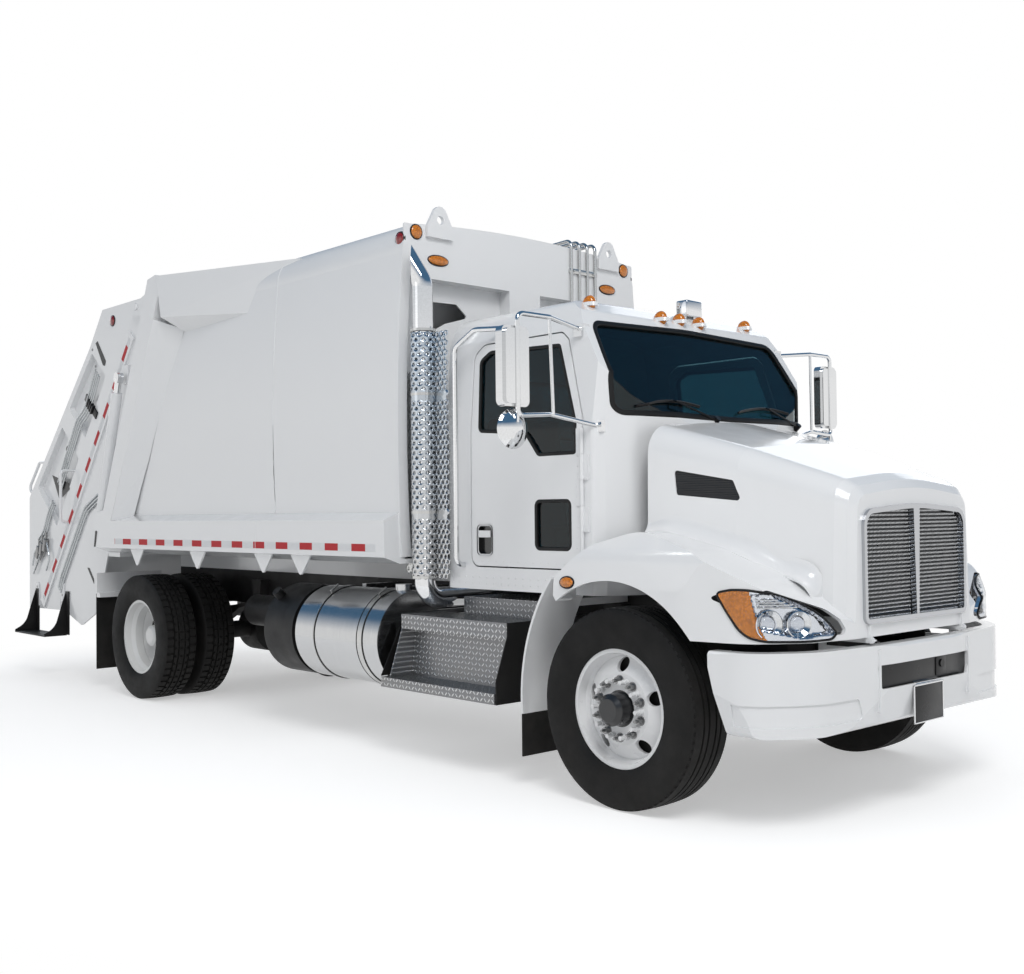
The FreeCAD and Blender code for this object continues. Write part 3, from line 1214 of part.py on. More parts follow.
def sideSteps():
    """Step box behind the front wheel: two treads, a riser and end brackets hung from the rail."""
    x0, x1 = -1925, -880
    lower = block(x0, x1, -1190, -985, 430, 490)
    riser = frontProfile([(-1000, 480), (-990, 480), (-960, 780), (-970, 780)], x0 + 60, x1 - 10)
    lip = block(x0 + 70, x1, -1075, -965, 780, 870)
    upper = block(x0 + 70, x1, -1075, -780, 860, 870)
    deck = block(-1600, -905, -790, -780, 860, 975)
    deckTop = block(-1600, -905, -790, -railOuterHalf, 965, 975)
    parts = [lower, riser, lip, upper, deck, deckTop]
    for x in (x0 + 62, x1 - 8):
        parts.append(frontProfile([(-1190, 430), (-1150, 430), (-470, 430), (-470, 760),
                                   (-railOuterHalf, 800), (-railOuterHalf, 880), (-800, 880),
                                   (-1075, 870), (-1075, 780)], x, x + 8))
    addPair("side_steps", fused(parts))


def exhaust():
    """A stack that bends outward and rearward at the top, where an upright cut opens it."""
    x, y = stackPlace
    path = [Vector(x, -railOuterHalf, 970), Vector(x, y, 970), Vector(x, y, 2905),
            Vector(x - 110, y - 110, 3174)]
    stack = bentRod(path, stackRadius, 110)
    hollow = bentRod([Vector(x, y, 2700), Vector(x, y, 2905), Vector(x - 130, y - 130, 3223)],
                     stackRadius - 3, 110)
    near, far = stackRadius + 0.5, 500.0
    corners = [(near, 400), (far, 400), (far, -400), (near, -400)]
    beyond = [(x - (out + across) * stackTurn, y - (out - across) * stackTurn) for out, across in corners]
    add("exhaust_stack", stack.cut(hollow).cut(planProfile(beyond, 2650, 3600)))
    shield = [tube(Vector(x, y, 1095), Vector(x, y, 2615), 79, 77)]
    shield += [tube(Vector(x, y, z), Vector(x, y, z + 20), 78, stackRadius + 0.3) for z in (1130, 1840, 2560)]
    add("exhaust_shield", fused(shield))


def rails():
    """Chrome grab tubes behind the doors."""
    y = -1010
    tubeShape = bentRod([Vector(-1405, -cabHalf + 2, 1180), Vector(-1405, y, 1180), Vector(-1405, y, 2470),
                         Vector(-1230, y + 5, 2560), Vector(-1060, -cabHalf + 60, 2560)],
                        16, 50)
    addPair("grab_rails", tubeShape.cut(cabForm(0)))


def mirrors():
    x, y = -405, -mirrorHalf
    upright = rod(Vector(x, y, 1985), Vector(x, y, 2480), 13)
    head = frontProfile([(y - 95, 2030, 35), (y - 95, 2445, 35), (y + 95, 2445, 35), (y + 95, 2030, 35)],
                        x - 62, x - 14)
    back = frontProfile([(y - 80, 2045, 25), (y - 80, 2430, 25), (y + 80, 2430, 25), (y + 80, 2045, 25)],
                        x - 14, x)
    dome = Part.makeSphere(156, Vector(x - 156, y, 1918)).common(block(x - 40, x + 10, y - 200, y + 200, 1700,
                                                                       2100))
    convex = rod(Vector(x - 60, y, 1918), Vector(x - 30, y, 1918), 92).fuse(dome)
    stub = block(x - 30, x, y - 8, y + 8, 1950, 1995)
    arms = [stub, bentRod([Vector(x, y, 2400), Vector(x, y, 2510), Vector(x, -1200, 2510),
                           Vector(-470, -900, 2480)], 13, 40),
            bentRod([Vector(x, y, 2060), Vector(x, y, 1985), Vector(x, -1200, 2000),
                     Vector(-330, -905, 1945)], 13, 30),
            rod(Vector(x, -1200, 2510), Vector(-393, -1190, 2000), 9)]
    pads = [block(-500, -440, -925, -860, 2440, 2510), block(-360, -300, -925, -870, 1915, 1975)]
    addPair("mirrors", fused([upright, head, back, convex] + arms + pads).cut(cabForm(0)))


def fenders():
    """Quarter fenders behind the front wheels, and the flaps that hang behind all wheels."""
    place = [Vector(px, -fenderHalf, pz) for px, pz in ((-475, 1143), (-675, 750), (-705, 395))]
    outerArc = Part.Arc(*place).toShape()
    inside = [Vector(p.x + 14, p.y, p.z - 6) for p in place]
    innerArc = Part.Arc(inside[2], inside[1], inside[0]).toShape()
    wire = Part.Wire([outerArc, Part.makeLine(place[2], inside[2]), innerArc,
                      Part.makeLine(inside[0], place[0])])
    shell = Part.Face(wire).extrude(Vector(0, 320, 0))
    shell = shell.cut(block(-900, -400, -cabHalf - 8, -600, cabFloor - 10, 1300))
    shell = shell.cut(block(-900, -400, -1300, -600, 0, flapTop))
    bracket = block(-640, -572, -860, -railOuterHalf, 970, 1010)
    addPair("quarter_fenders", fused([shell, bracket]))
    addPair("mudflaps", block(-703, -693, -fenderHalf, -860, 170, flapTop))
    addPair("mudflaps", block(-6060, -6050, -1190, -590, 170, 820))
    panel = frontProfile([(-1190, 830), (-590, 830), (-590, 1000), (-1190, 1000)], -6050, -6040)
    addPair("body_rear_frame", fused([panel, block(-6050, frameRear, -1190, -railOuterHalf + railWidth, 790,
                                                   830)]))


def tubes():
    """Hydraulic pipes up the bulkhead and back over the roof."""
    for y in (410, 490, 570, 650):
        add("hydraulic_tubes", bentRod([Vector(bodyFront + 12.2, y, 1300), Vector(bodyFront + 12.2, y, 3395),
                                        Vector(bodyFront - 300, y, 3385)], 12, 45))


# ---------------------------------------------------------------- build
def build():
    wheels()
    frontAxle()
    addSides("knuckle", knuckle())
    rearAxle()
    frame()
    driveLine()
    bumper()
    cab()
    interior()
    hoodParts()
    body()
    ejector()
    tailgate()
    ridingSteps()
    lifts()
    carrier()
    blade()
    packers()
    tanks()
    sideSteps()
    exhaust()
    rails()
    mirrors()
    fenders()
    tubes()


def export():
    os.makedirs("parts", exist_ok=True)
    for node, shapes in pieces.items():
        solids = [solid for shape in shapes for solid in shape.Solids]
        whole = solids[0] if len(solids) == 1 else Part.makeCompound(solids)
        whole.translate(Vector(originShift, 0, 0))
        whole.exportStep("parts/" + node + ".step")


build()
export()
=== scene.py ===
import math

import bmesh
import bpy
from mathutils import Matrix, Vector
from mathutils.bvhtree import BVHTree


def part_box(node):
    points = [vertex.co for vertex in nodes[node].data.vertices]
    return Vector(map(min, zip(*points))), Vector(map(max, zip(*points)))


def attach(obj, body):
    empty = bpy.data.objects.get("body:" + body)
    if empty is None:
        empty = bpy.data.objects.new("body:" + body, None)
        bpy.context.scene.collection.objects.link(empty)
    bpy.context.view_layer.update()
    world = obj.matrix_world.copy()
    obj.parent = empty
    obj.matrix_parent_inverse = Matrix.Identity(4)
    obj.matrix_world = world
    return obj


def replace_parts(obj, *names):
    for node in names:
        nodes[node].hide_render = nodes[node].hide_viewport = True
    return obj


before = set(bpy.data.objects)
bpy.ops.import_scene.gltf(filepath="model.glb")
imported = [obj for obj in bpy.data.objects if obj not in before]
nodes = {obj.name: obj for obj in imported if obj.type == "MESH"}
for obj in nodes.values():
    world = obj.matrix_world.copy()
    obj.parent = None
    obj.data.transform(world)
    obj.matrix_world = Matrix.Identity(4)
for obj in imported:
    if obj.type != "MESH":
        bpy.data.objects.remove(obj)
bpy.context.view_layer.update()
print("frame loaded:", len(nodes), "nodes")

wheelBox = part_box("front_wheel_right")
axleX = (wheelBox[0].x + wheelBox[1].x) / 2  # the front axle's station
bothSides = (("right", -1), ("left", 1))  # each side's name and the sign of its Y


def at(x, y, z):
    # a place given from the front axle, on the ground and on the centre line
    return Vector((axleX + x, y, z))


# the camera stands off the front right corner at chest height

cameraPlace = {"spot": at(4.0766, -5.6006, 1.4928), "yaw": 47.39, "pitch": -1.18, "roll": -0.59,
               "lens": 42.275}


def addCamera(place):
    yaw, pitch, roll = (math.radians(place[key]) for key in ("yaw", "pitch", "roll"))
    back = Vector((math.sin(yaw) * math.cos(pitch), -math.cos(yaw) * math.cos(pitch), math.sin(pitch)))
    right = (-back).cross(Vector((0, 0, 1))).normalized()
    up = right.cross(-back)
    turned = Matrix((right, up, back)).transposed().to_4x4() @ Matrix.Rotation(roll, 4, "Z")
    data = bpy.data.cameras.new("viewCamera")
    data.lens = place["lens"]
    data.sensor_width = 36.0
    data.clip_end = 200.0
    camera = bpy.data.objects.new("viewCamera", data)
    bpy.context.scene.collection.objects.link(camera)
    camera.matrix_world = Matrix.Translation(place["spot"]) @ turned
    bpy.context.scene.camera = camera


lampTable = {
    "key": {"spot": (9.0, -5.0, 9.5), "size": 5.0, "power": 520, "aim": (1.5, 0, 1.2)},
    "side": {"spot": (-3.0, -12.0, 5.0), "size": 7.0, "power": 60, "aim": (-1.0, 0, 1.5)},
    "far": {"spot": (-2.0, 11.0, 7.0), "size": 7.0, "power": 150, "aim": (0, 0, 1.2)},
    "rear": {"spot": (-13.0, 0.0, 6.0), "size": 6.0, "power": 120, "aim": (-3, 0, 1.5)},
}


def addLamps(table):
    for name, lamp in table.items():
        data = bpy.data.lights.new(name + "Lamp", "AREA")
        data.shape = "DISK"
        data.size = lamp["size"]
        data.energy = lamp["power"]
        light = bpy.data.objects.new(name + "Lamp", data)
        bpy.context.scene.collection.objects.link(light)
        away = Vector(lamp["spot"]) - Vector(lamp["aim"])
        turned = away.to_track_quat("Z", "Y").to_matrix().to_4x4()
        light.matrix_world = Matrix.Translation(Vector(lamp["spot"])) @ turned


surround = {"fill": 0.5, "fillColor": (0.93, 0.96, 1.0, 1), "skyColor": (0.07, 0.16, 0.28, 1),
            "skyFrom": 0.10, "skyTo": 0.42, "floorColor": (0.82, 0.82, 0.82, 1), "floorGlow": 0.42,
            "floorHalf": 40.0, "fadeStart": 4.6, "fadeEnd": 6.6, "fadeSqueeze": 0.72}


def mathNode(tree, operation, first, second=None):
    node = tree.nodes.new("ShaderNodeMath")
    node.operation = operation
    for index, value in enumerate((first, second)):
        if value is None:
            continue
        if isinstance(value, (int, float)):
            node.inputs[index].default_value = value
        else:
            tree.links.new(value, node.inputs[index])
    return node.outputs[0]


def rangeNode(tree, value, low, high, toLow, toHigh):
    node = tree.nodes.new("ShaderNodeMapRange")
    node.inputs["From Min"].default_value = low
    node.inputs["From Max"].default_value = high
    node.inputs["To Min"].default_value = toLow
    node.inputs["To Max"].default_value = toHigh
    tree.links.new(value, node.inputs["Value"])
    return node.outputs[0]


def mixColor(tree, factor, first, second, blend="MIX"):
    node = tree.nodes.new("ShaderNodeMix")
    node.data_type = "RGBA"
    node.blend_type = blend
    for socket, value in ((node.inputs[0], factor), (node.inputs[6], first), (node.inputs[7], second)):
        if isinstance(value, (int, float, tuple)):
            socket.default_value = value
        else:
            tree.links.new(value, socket)
    return node.outputs[2]


def linkAll(tree, shader, values):
    for label, value in values.items():
        tree.links.new(value, shader.inputs[label])


def objectPlace(tree):
    # Object coordinates, whole and as a node with X, Y and Z apart
    coord = tree.nodes.new("ShaderNodeTexCoord").outputs["Object"]
    split = tree.nodes.new("ShaderNodeSeparateXYZ")
    tree.links.new(coord, split.inputs[0])
    return coord, split.outputs


def seenDirectly(tree):
    # 1 for rays that show the surround itself: straight, mirrored or through glass
    path = tree.nodes.new("ShaderNodeLightPath")
    first = mathNode(tree, "MAXIMUM", path.outputs["Is Camera Ray"], path.outputs["Is Glossy Ray"])
    return mathNode(tree, "MAXIMUM", first, path.outputs["Is Transmission Ray"])


def mixShaders(tree, factor, first, second):
    mix = tree.nodes.new("ShaderNodeMixShader")
    for socket, value in zip(mix.inputs, (factor, first.outputs[0], second.outputs[0])):
        tree.links.new(value, socket)
    return mix.outputs[0]


def addWorld(settings):
    # a soft fill; mirrors see a sky that darkens upward
    world = bpy.data.worlds.new("paleRoom")
    bpy.context.scene.world = world
    world.use_nodes = True
    tree = world.node_tree
    tree.nodes.clear()
    fill = tree.nodes.new("ShaderNodeBackground")
    fill.inputs["Color"].default_value = settings["fillColor"]
    fill.inputs["Strength"].default_value = settings["fill"]
    shown = tree.nodes.new("ShaderNodeBackground")
    shown.inputs["Strength"].default_value = 1.0
    path = tree.nodes.new("ShaderNodeLightPath")
    split = tree.nodes.new("ShaderNodeSeparateXYZ")
    tree.links.new(tree.nodes.new("ShaderNodeTexCoord").outputs["Generated"], split.inputs[0])
    height = rangeNode(tree, split.outputs["Z"], settings["skyFrom"], settings["skyTo"], 0.0, 1.0)
    mirrored = mathNode(tree, "MULTIPLY", height, path.outputs["Is Glossy Ray"])
    tree.links.new(mixColor(tree, mirrored, (1, 1, 1, 1), settings["skyColor"]), shown.inputs["Color"])
    out = tree.nodes.new("ShaderNodeOutputWorld")
    tree.links.new(mixShaders(tree, seenDirectly(tree), fill, shown), out.inputs[0])


def addFloor(settings):
    # lit near the truck, plain white further out, where the two can't be told apart
    mesh = bmesh.new()
    bmesh.ops.create_grid(mesh, x_segments=1, y_segments=1, size=settings["floorHalf"])
    data = bpy.data.meshes.new("floor")
    mesh.to_mesh(data)
    mesh.free()
    floor = bpy.data.objects.new("floor", data)
    bpy.context.scene.collection.objects.link(floor)
    material = bpy.data.materials.new("paleFloor")
    material.use_nodes = True
    tree = material.node_tree
    tree.nodes.clear()
    squeeze = tree.nodes.new("ShaderNodeMapping")
    squeeze.inputs["Scale"].default_value = (settings["fadeSqueeze"], 1.0, 1.0)
    tree.links.new(tree.nodes.new("ShaderNodeTexCoord").outputs["Object"], squeeze.inputs["Vector"])
    length = tree.nodes.new("ShaderNodeVectorMath")
    length.operation = "LENGTH"
    tree.links.new(squeeze.outputs[0], length.inputs[0])
    fade = tree.nodes.new("ShaderNodeMapRange")
    fade.interpolation_type = "SMOOTHSTEP"
    fade.inputs["From Min"].default_value = settings["fadeStart"] * settings["fadeSqueeze"]
    fade.inputs["From Max"].default_value = settings["fadeEnd"] * settings["fadeSqueeze"]
    tree.links.new(length.outputs["Value"], fade.inputs["Value"])
    near = tree.nodes.new("ShaderNodeBsdfDiffuse")
    near.inputs["Color"].default_value = settings["floorColor"]
    glow = tree.nodes.new("ShaderNodeEmission")
    tree.links.new(mathNode(tree, "MULTIPLY", seenDirectly(tree), settings["floorGlow"]),
                   glow.inputs["Strength"])
    lit = tree.nodes.new("ShaderNodeAddShader")
    tree.links.new(near.outputs[0], lit.inputs[0])
    tree.links.new(glow.outputs[0], lit.inputs[1])
    farAway = tree.nodes.new("ShaderNodeEmission")
    farAway.inputs["Strength"].default_value = 1.0
    gone = mathNode(tree, "MULTIPLY", fade.outputs[0], seenDirectly(tree))
    out = tree.nodes.new("ShaderNodeOutputMaterial")
    tree.links.new(mixShaders(tree, gone, lit, farAway), out.inputs["Surface"])
    data.materials.append(material)


bpy.context.scene.view_settings.view_transform = "Standard"
addCamera(cameraPlace)
addLamps(lampTable)
addWorld(surround)
addFloor(surround)
print("camera, lamps and floor placed")

# shared effects: groups that put out colours, masks and heights only


def socketKind(label):
    if "Color" in label:
        return "NodeSocketColor"
    return "NodeSocketVector" if label == "Stretch" else "NodeSocketFloat"


def newGroup(name, ins, outs):
    tree = bpy.data.node_groups.new(name, "ShaderNodeTree")
    for label, value in ins.items():
        socket = tree.interface.new_socket(label, in_out="INPUT", socket_type=socketKind(label))
        if value is not None:
            socket.default_value = value
    for label in outs:
        tree.interface.new_socket(label, in_out="OUTPUT", socket_type=socketKind(label))
    return tree, tree.nodes.new("NodeGroupInput"), tree.nodes.new("NodeGroupOutput")


def noiseNode(tree, vector, scale, detail=3.0, roughness=0.5):
    node = tree.nodes.new("ShaderNodeTexNoise")
    node.inputs["Scale"].default_value = scale
    node.inputs["Detail"].default_value = detail
    node.inputs["Roughness"].default_value = roughness
    tree.links.new(vector, node.inputs["Vector"])
    return node.outputs["Fac"]


def cellNode(tree, vector, scale):
    node = tree.nodes.new("ShaderNodeTexVoronoi")
    node.inputs["Scale"].default_value = scale
    tree.links.new(vector, node.inputs["Vector"])
    return node.outputs["Distance"]


def grimeGroup():
    # thin road film: stronger near the ground and in soft patches
    ins = {"Color": None, "Film Color": (0.33, 0.30, 0.26, 1), "Amount": 0.3, "Height": 1.0}
    tree, inside, outside = newGroup("roadFilm", ins, ("Color", "Mask"))
    coord, place = objectPlace(tree)
    low = mathNode(tree, "SUBTRACT", 1.0, mathNode(tree, "DIVIDE", place["Z"], inside.outputs["Height"]))
    low = mathNode(tree, "MAXIMUM", low, 0.0)
    patches = rangeNode(tree, noiseNode(tree, coord, 5.0, 5.0, 0.6), 0.35, 0.75, 0.25, 1.0)
    mask = mathNode(tree, "MULTIPLY", mathNode(tree, "MULTIPLY", low, patches), inside.outputs["Amount"])
    covered = mixColor(tree, mask, inside.outputs["Color"], inside.outputs["Film Color"])
    linkAll(tree, outside, {"Color": covered, "Mask": mask})
    return tree


def paintGroup():
    # sprayed coat: faint cloudiness in the colour and a very fine ripple
    tree, inside, outside = newGroup("sprayedCoat", {"Color": None, "Cloud": 0.04},
                                     ("Color", "Height", "Gloss"))
    coord = tree.nodes.new("ShaderNodeTexCoord").outputs["Object"]
    cloud = noiseNode(tree, coord, 1.3, 4.0)
    shade = mathNode(tree, "MULTIPLY", mathNode(tree, "SUBTRACT", cloud, 0.5), inside.outputs["Cloud"])
    dark = mixColor(tree, 1.0, inside.outputs["Color"], (0.9, 0.92, 0.95, 1), "MULTIPLY")
    amount = mathNode(tree, "ADD", shade, inside.outputs["Cloud"])
    linkAll(tree, outside, {"Color": mixColor(tree, amount, inside.outputs["Color"], dark),
                            "Height": noiseNode(tree, coord, 420.0, 1.0),
                            "Gloss": rangeNode(tree, noiseNode(tree, coord, 9.0, 5.0), 0.3, 0.7, 0.0, 1.0)})
    return tree


def castGroup():
    # cast or rolled metal: pitted height and blotchy tone
    tree, inside, outside = newGroup("roughCast", {"Color": None, "Scale": 120.0},
                                     ("Color", "Height", "Tone"))
    coord = tree.nodes.new("ShaderNodeTexCoord").outputs["Object"]
    grain = tree.nodes.new("ShaderNodeTexNoise")
    grain.inputs["Detail"].default_value = 4.0
    tree.links.new(coord, grain.inputs["Vector"])
    tree.links.new(inside.outputs["Scale"], grain.inputs["Scale"])
    blotch = noiseNode(tree, coord, 7.0, 6.0, 0.65)
    pale = mixColor(tree, 1.0, inside.outputs["Color"], (1.6, 1.55, 1.5, 1), "MULTIPLY")
    mottled = mixColor(tree, rangeNode(tree, blotch, 0.35, 0.7, 0.0, 0.6), inside.outputs["Color"], pale)
    linkAll(tree, outside, {"Color": mottled, "Height": grain.outputs["Fac"], "Tone": blotch})
    return tree


def brushedGroup():
    # fine scratches drawn out along X or round Y and Z
    tree, inside, outside = newGroup("brushedLines", {"Stretch": (2.0, 160.0, 160.0)}, ("Lines", "Patches"))
    coord = tree.nodes.new("ShaderNodeTexCoord").outputs["Object"]
    scaled = tree.nodes.new("ShaderNodeVectorMath")
    scaled.operation = "MULTIPLY"
    tree.links.new(coord, scaled.inputs[0])
    tree.links.new(inside.outputs["Stretch"], scaled.inputs[1])
    linkAll(tree, outside, {"Lines": noiseNode(tree, scaled.outputs[0], 1.0, 4.0),
                            "Patches": noiseNode(tree, coord, 6.0, 4.0)})
    return tree


def treadGroup():
    # raised lozenges of tread plate: each cell's bar leans the other way from its neighbours
    tree, inside, outside = newGroup("treadPlate", {"Pitch": 0.026}, ("Height", "Mask"))
    coord, place = objectPlace(tree)
    pitch = inside.outputs["Pitch"]
    across = mathNode(tree, "DIVIDE", place["X"], pitch)
    facing = tree.nodes.new("ShaderNodeSeparateXYZ")
    tree.links.new(tree.nodes.new("ShaderNodeTexCoord").outputs["Normal"], facing.inputs[0])
    flat = mathNode(tree, "GREATER_THAN", mathNode(tree, "ABSOLUTE", facing.outputs["Z"]), 0.7)
    upward = mathNode(tree, "MULTIPLY", mathNode(tree, "SUBTRACT", 1.0, flat), place["Z"])
    sideways = mathNode(tree, "MULTIPLY", flat, place["Y"])
    along = mathNode(tree, "DIVIDE", mathNode(tree, "ADD", sideways, upward), pitch)
    cells = mathNode(tree, "ADD", mathNode(tree, "FLOOR", across), mathNode(tree, "FLOOR", along))
    odd = mathNode(tree, "MULTIPLY", mathNode(tree, "FRACT", mathNode(tree, "MULTIPLY", cells, 0.5)), 2.0)
    lean = mathNode(tree, "SUBTRACT", mathNode(tree, "MULTIPLY", odd, 2.0), 1.0)
    u = mathNode(tree, "SUBTRACT", mathNode(tree, "FRACT", across), 0.5)
    v = mathNode(tree, "SUBTRACT", mathNode(tree, "FRACT", along), 0.5)
    vLean = mathNode(tree, "MULTIPLY", v, lean)
    barLong, barShort = 0.46, 0.15  # the bar's half length and half width, as shares of a cell
    squares = []
    for way, half in (("ADD", barLong), ("SUBTRACT", barShort)):
        slanted = mathNode(tree, "MULTIPLY", mathNode(tree, way, u, vLean), 0.707 / half)
        squares.append(mathNode(tree, "POWER", mathNode(tree, "ABSOLUTE", slanted), 2.0))
    reach = mathNode(tree, "ADD", *squares)
    bump = mathNode(tree, "MAXIMUM", mathNode(tree, "SUBTRACT", 1.0, reach), 0.0)
    linkAll(tree, outside, {"Height": mathNode(tree, "POWER", bump, 0.6),
                            "Mask": mathNode(tree, "MINIMUM", mathNode(tree, "MULTIPLY", bump, 4.0), 1.0)})
    return tree


groups = {"film": grimeGroup(), "paint": paintGroup(), "cast": castGroup(), "brushed": brushedGroup(),
          "tread": treadGroup()}


def placeGroup(tree, name, values):
    node = tree.nodes.new("ShaderNodeGroup")
    node.node_tree = groups[name]
    for label, value in values.items():
        node.inputs[label].default_value = value
    return node


def newMaterial(name, settings):
    material = bpy.data.materials.new(name)
    material.use_nodes = True
    tree = material.node_tree
    shader = tree.nodes["Principled BSDF"]
    plain = {"roughness": "Roughness", "metallic": "Metallic", "coat": "Coat Weight",
             "coatRoughness": "Coat Roughness", "ior": "IOR",
             "transmission": "Transmission Weight", "specular": "Specular IOR Level"}
    for key, label in plain.items():
        if key in settings:
            shader.inputs[label].default_value = settings[key]
    shader.inputs["Base Color"].default_value = (*settings["color"], 1)
    material.diffuse_color = (*settings["color"], 1)
    return material, tree, shader


def bumpInto(tree, shader, height, distance, strength=1.0):
    node = tree.nodes.new("ShaderNodeBump")
    node.inputs["Distance"].default_value = distance
    node.inputs["Strength"].default_value = strength
    tree.links.new(height, node.inputs["Height"])
    tree.links.new(node.outputs[0], shader.inputs["Normal"])


def paintedMetal(name, settings):
    material, tree, shader = newMaterial(name, settings)
    coat = placeGroup(tree, "paint", {"Color": (*settings["color"], 1), "Cloud": settings.get("cloud", 0.05)})
    film = placeGroup(tree, "film", {"Amount": settings["film"], "Height": settings.get("filmHeight", 1.2)})
    tree.links.new(coat.outputs["Color"], film.inputs["Color"])
    low = settings["roughness"]
    rough = rangeNode(tree, coat.outputs["Gloss"], 0.0, 1.0, low * 0.85, low * 1.2)
    rough = mathNode(tree, "ADD", rough, mathNode(tree, "MULTIPLY", film.outputs["Mask"], 0.4))
    linkAll(tree, shader, {"Base Color": film.outputs["Color"], "Roughness": rough})
    bumpInto(tree, shader, coat.outputs["Height"], 0.00006)
    return material


def castMetal(name, settings):
    material, tree, shader = newMaterial(name, settings)
    cast = placeGroup(tree, "cast", {"Color": (*settings["color"], 1), "Scale": settings.get("scale", 120.0)})
    film = placeGroup(tree, "film", {"Amount": settings["film"], "Height": 1.4})
    tree.links.new(cast.outputs["Color"], film.inputs["Color"])
    low = settings["roughness"]
    rough = rangeNode(tree, cast.outputs["Tone"], 0.3, 0.7, low * 0.8, min(1.0, low * 1.25))
    linkAll(tree, shader, {"Base Color": film.outputs["Color"], "Roughness": rough})
    bumpInto(tree, shader, cast.outputs["Height"], settings.get("depth", 0.0006))
    return material


def brightMetal(name, settings):
    material, tree, shader = newMaterial(name, settings)
    lines = placeGroup(tree, "brushed", {"Stretch": settings.get("stretch", (2.0, 160.0, 160.0))})
    low, high = settings["roughness"], settings["roughness"] + settings.get("spread", 0.08)
    darker = tuple(0.82 * part for part in settings["color"]) + (1,)
    tint = mixColor(tree, rangeNode(tree, lines.outputs["Lines"], 0.3, 0.7, 0.0, 0.5),
                    (*settings["color"], 1), darker)
    rough = rangeNode(tree, lines.outputs["Patches"], 0.3, 0.7, low, high)
    linkAll(tree, shader, {"Base Color": tint, "Roughness": rough})
    bumpInto(tree, shader, lines.outputs["Lines"], settings.get("depth", 0.00005))
    return material


def treadPlate(name, settings):
    material, tree, shader = newMaterial(name, settings)
    plate = placeGroup(tree, "tread", {"Pitch": settings["pitch"]})
    film = placeGroup(tree, "film", {"Amount": 0.35, "Height": 1.4})
    worn = mixColor(tree, plate.outputs["Mask"], (*settings["color"], 1), (*settings["barColor"], 1))
    tree.links.new(worn, film.inputs["Color"])
    low = settings["roughness"]
    rough = rangeNode(tree, plate.outputs["Mask"], 0.0, 1.0, low, low * 0.6)
    linkAll(tree, shader, {"Base Color": film.outputs["Color"], "Roughness": rough})
    bumpInto(tree, shader, plate.outputs["Height"], 0.0018)
    return material


def tintedGlass(name, settings):
    material, tree, shader = newMaterial(name, settings)
    film = placeGroup(tree, "film", {"Color": (*settings["color"], 1), "Amount": 0.15, "Height": 6.0})
    tree.links.new(film.outputs["Color"], shader.inputs["Base Color"])
    return material


def zone(tree, tests):
    # 1 where every test holds: (axis or "absY", "above" or "below", value)
    place = objectPlace(tree)[1]
    mask = None
    for axis, way, value in tests:
        where = mathNode(tree, "ABSOLUTE", place["Y"]) if axis == "absY" else place[axis]
        one = mathNode(tree, "GREATER_THAN" if way == "above" else "LESS_THAN", where, value)
        mask = one if mask is None else mathNode(tree, "MULTIPLY", mask, one)
    return mask


def roundZone(tree, x, z, radius):
    # 1 inside a cylinder along Y
    coord = tree.nodes.new("ShaderNodeTexCoord").outputs["Object"]
    moved = tree.nodes.new("ShaderNodeMapping")
    moved.inputs["Location"].default_value = (-x, 0, -z)
    moved.inputs["Scale"].default_value = (1, 0, 1)
    tree.links.new(coord, moved.inputs["Vector"])
    length = tree.nodes.new("ShaderNodeVectorMath")
    length.operation = "LENGTH"
    tree.links.new(moved.outputs[0], length.inputs[0])
    return mathNode(tree, "LESS_THAN", length.outputs["Value"], radius)


def paintOver(material, mask, color):
    # lays a second colour over a finished material's own
    tree = material.node_tree
    base = tree.nodes["Principled BSDF"].inputs["Base Color"]
    tree.links.new(mixColor(tree, mask, base.links[0].from_socket, (*color, 1)), base)
    return material


def hubWheel(name, settings):
    # painted wheel with a black hub in its middle
    material = paintedMetal(name, settings)
    mask = roundZone(material.node_tree, settings["hub"], settings["hubHeight"], settings["hubRadius"])
    return paintOver(material, mask, (0.014, 0.014, 0.015))


def doorPaint(name, settings):
    # the door's white, black inside the handle pocket
    material = paintedMetal(name, settings)
    left, right, low, high, skin = settings["pocket"]
    mask = zone(material.node_tree, (("X", "above", left), ("X", "below", right), ("Z", "above", low),
                                     ("Z", "below", high), ("absY", "below", skin)))
    return paintOver(material, mask, (0.008, 0.008, 0.009))


def grilleMetal(name, settings):
    # bright frame and bar, black backing panel and side vents with fine ribs
    material, tree, shader = newMaterial(name, settings)
    behind = zone(tree, (("X", "below", settings["panel"]),))
    vents = zone(tree, (("absY", "above", settings["vents"]),))
    dark = mathNode(tree, "MAXIMUM", behind, vents)
    lines = placeGroup(tree, "brushed", {"Stretch": (60.0, 60.0, 60.0)})
    bright = rangeNode(tree, lines.outputs["Patches"], 0.3, 0.7, 0.04, 0.09)
    rough = mathNode(tree, "ADD", mathNode(tree, "MULTIPLY", dark, 0.45), bright)
    color = mixColor(tree, dark, (*settings["color"], 1), (0.012, 0.012, 0.013, 1))
    metal = mathNode(tree, "SUBTRACT", 1.0, dark)
    linkAll(tree, shader, {"Base Color": color, "Metallic": metal, "Roughness": rough})
    wave = tree.nodes.new("ShaderNodeTexWave")
    wave.bands_direction = "Z"
    wave.inputs["Scale"].default_value = 26.0
    tree.links.new(objectPlace(tree)[0], wave.inputs["Vector"])
    bumpInto(tree, shader, mathNode(tree, "MULTIPLY", wave.outputs["Fac"], dark), 0.0016)
    return material


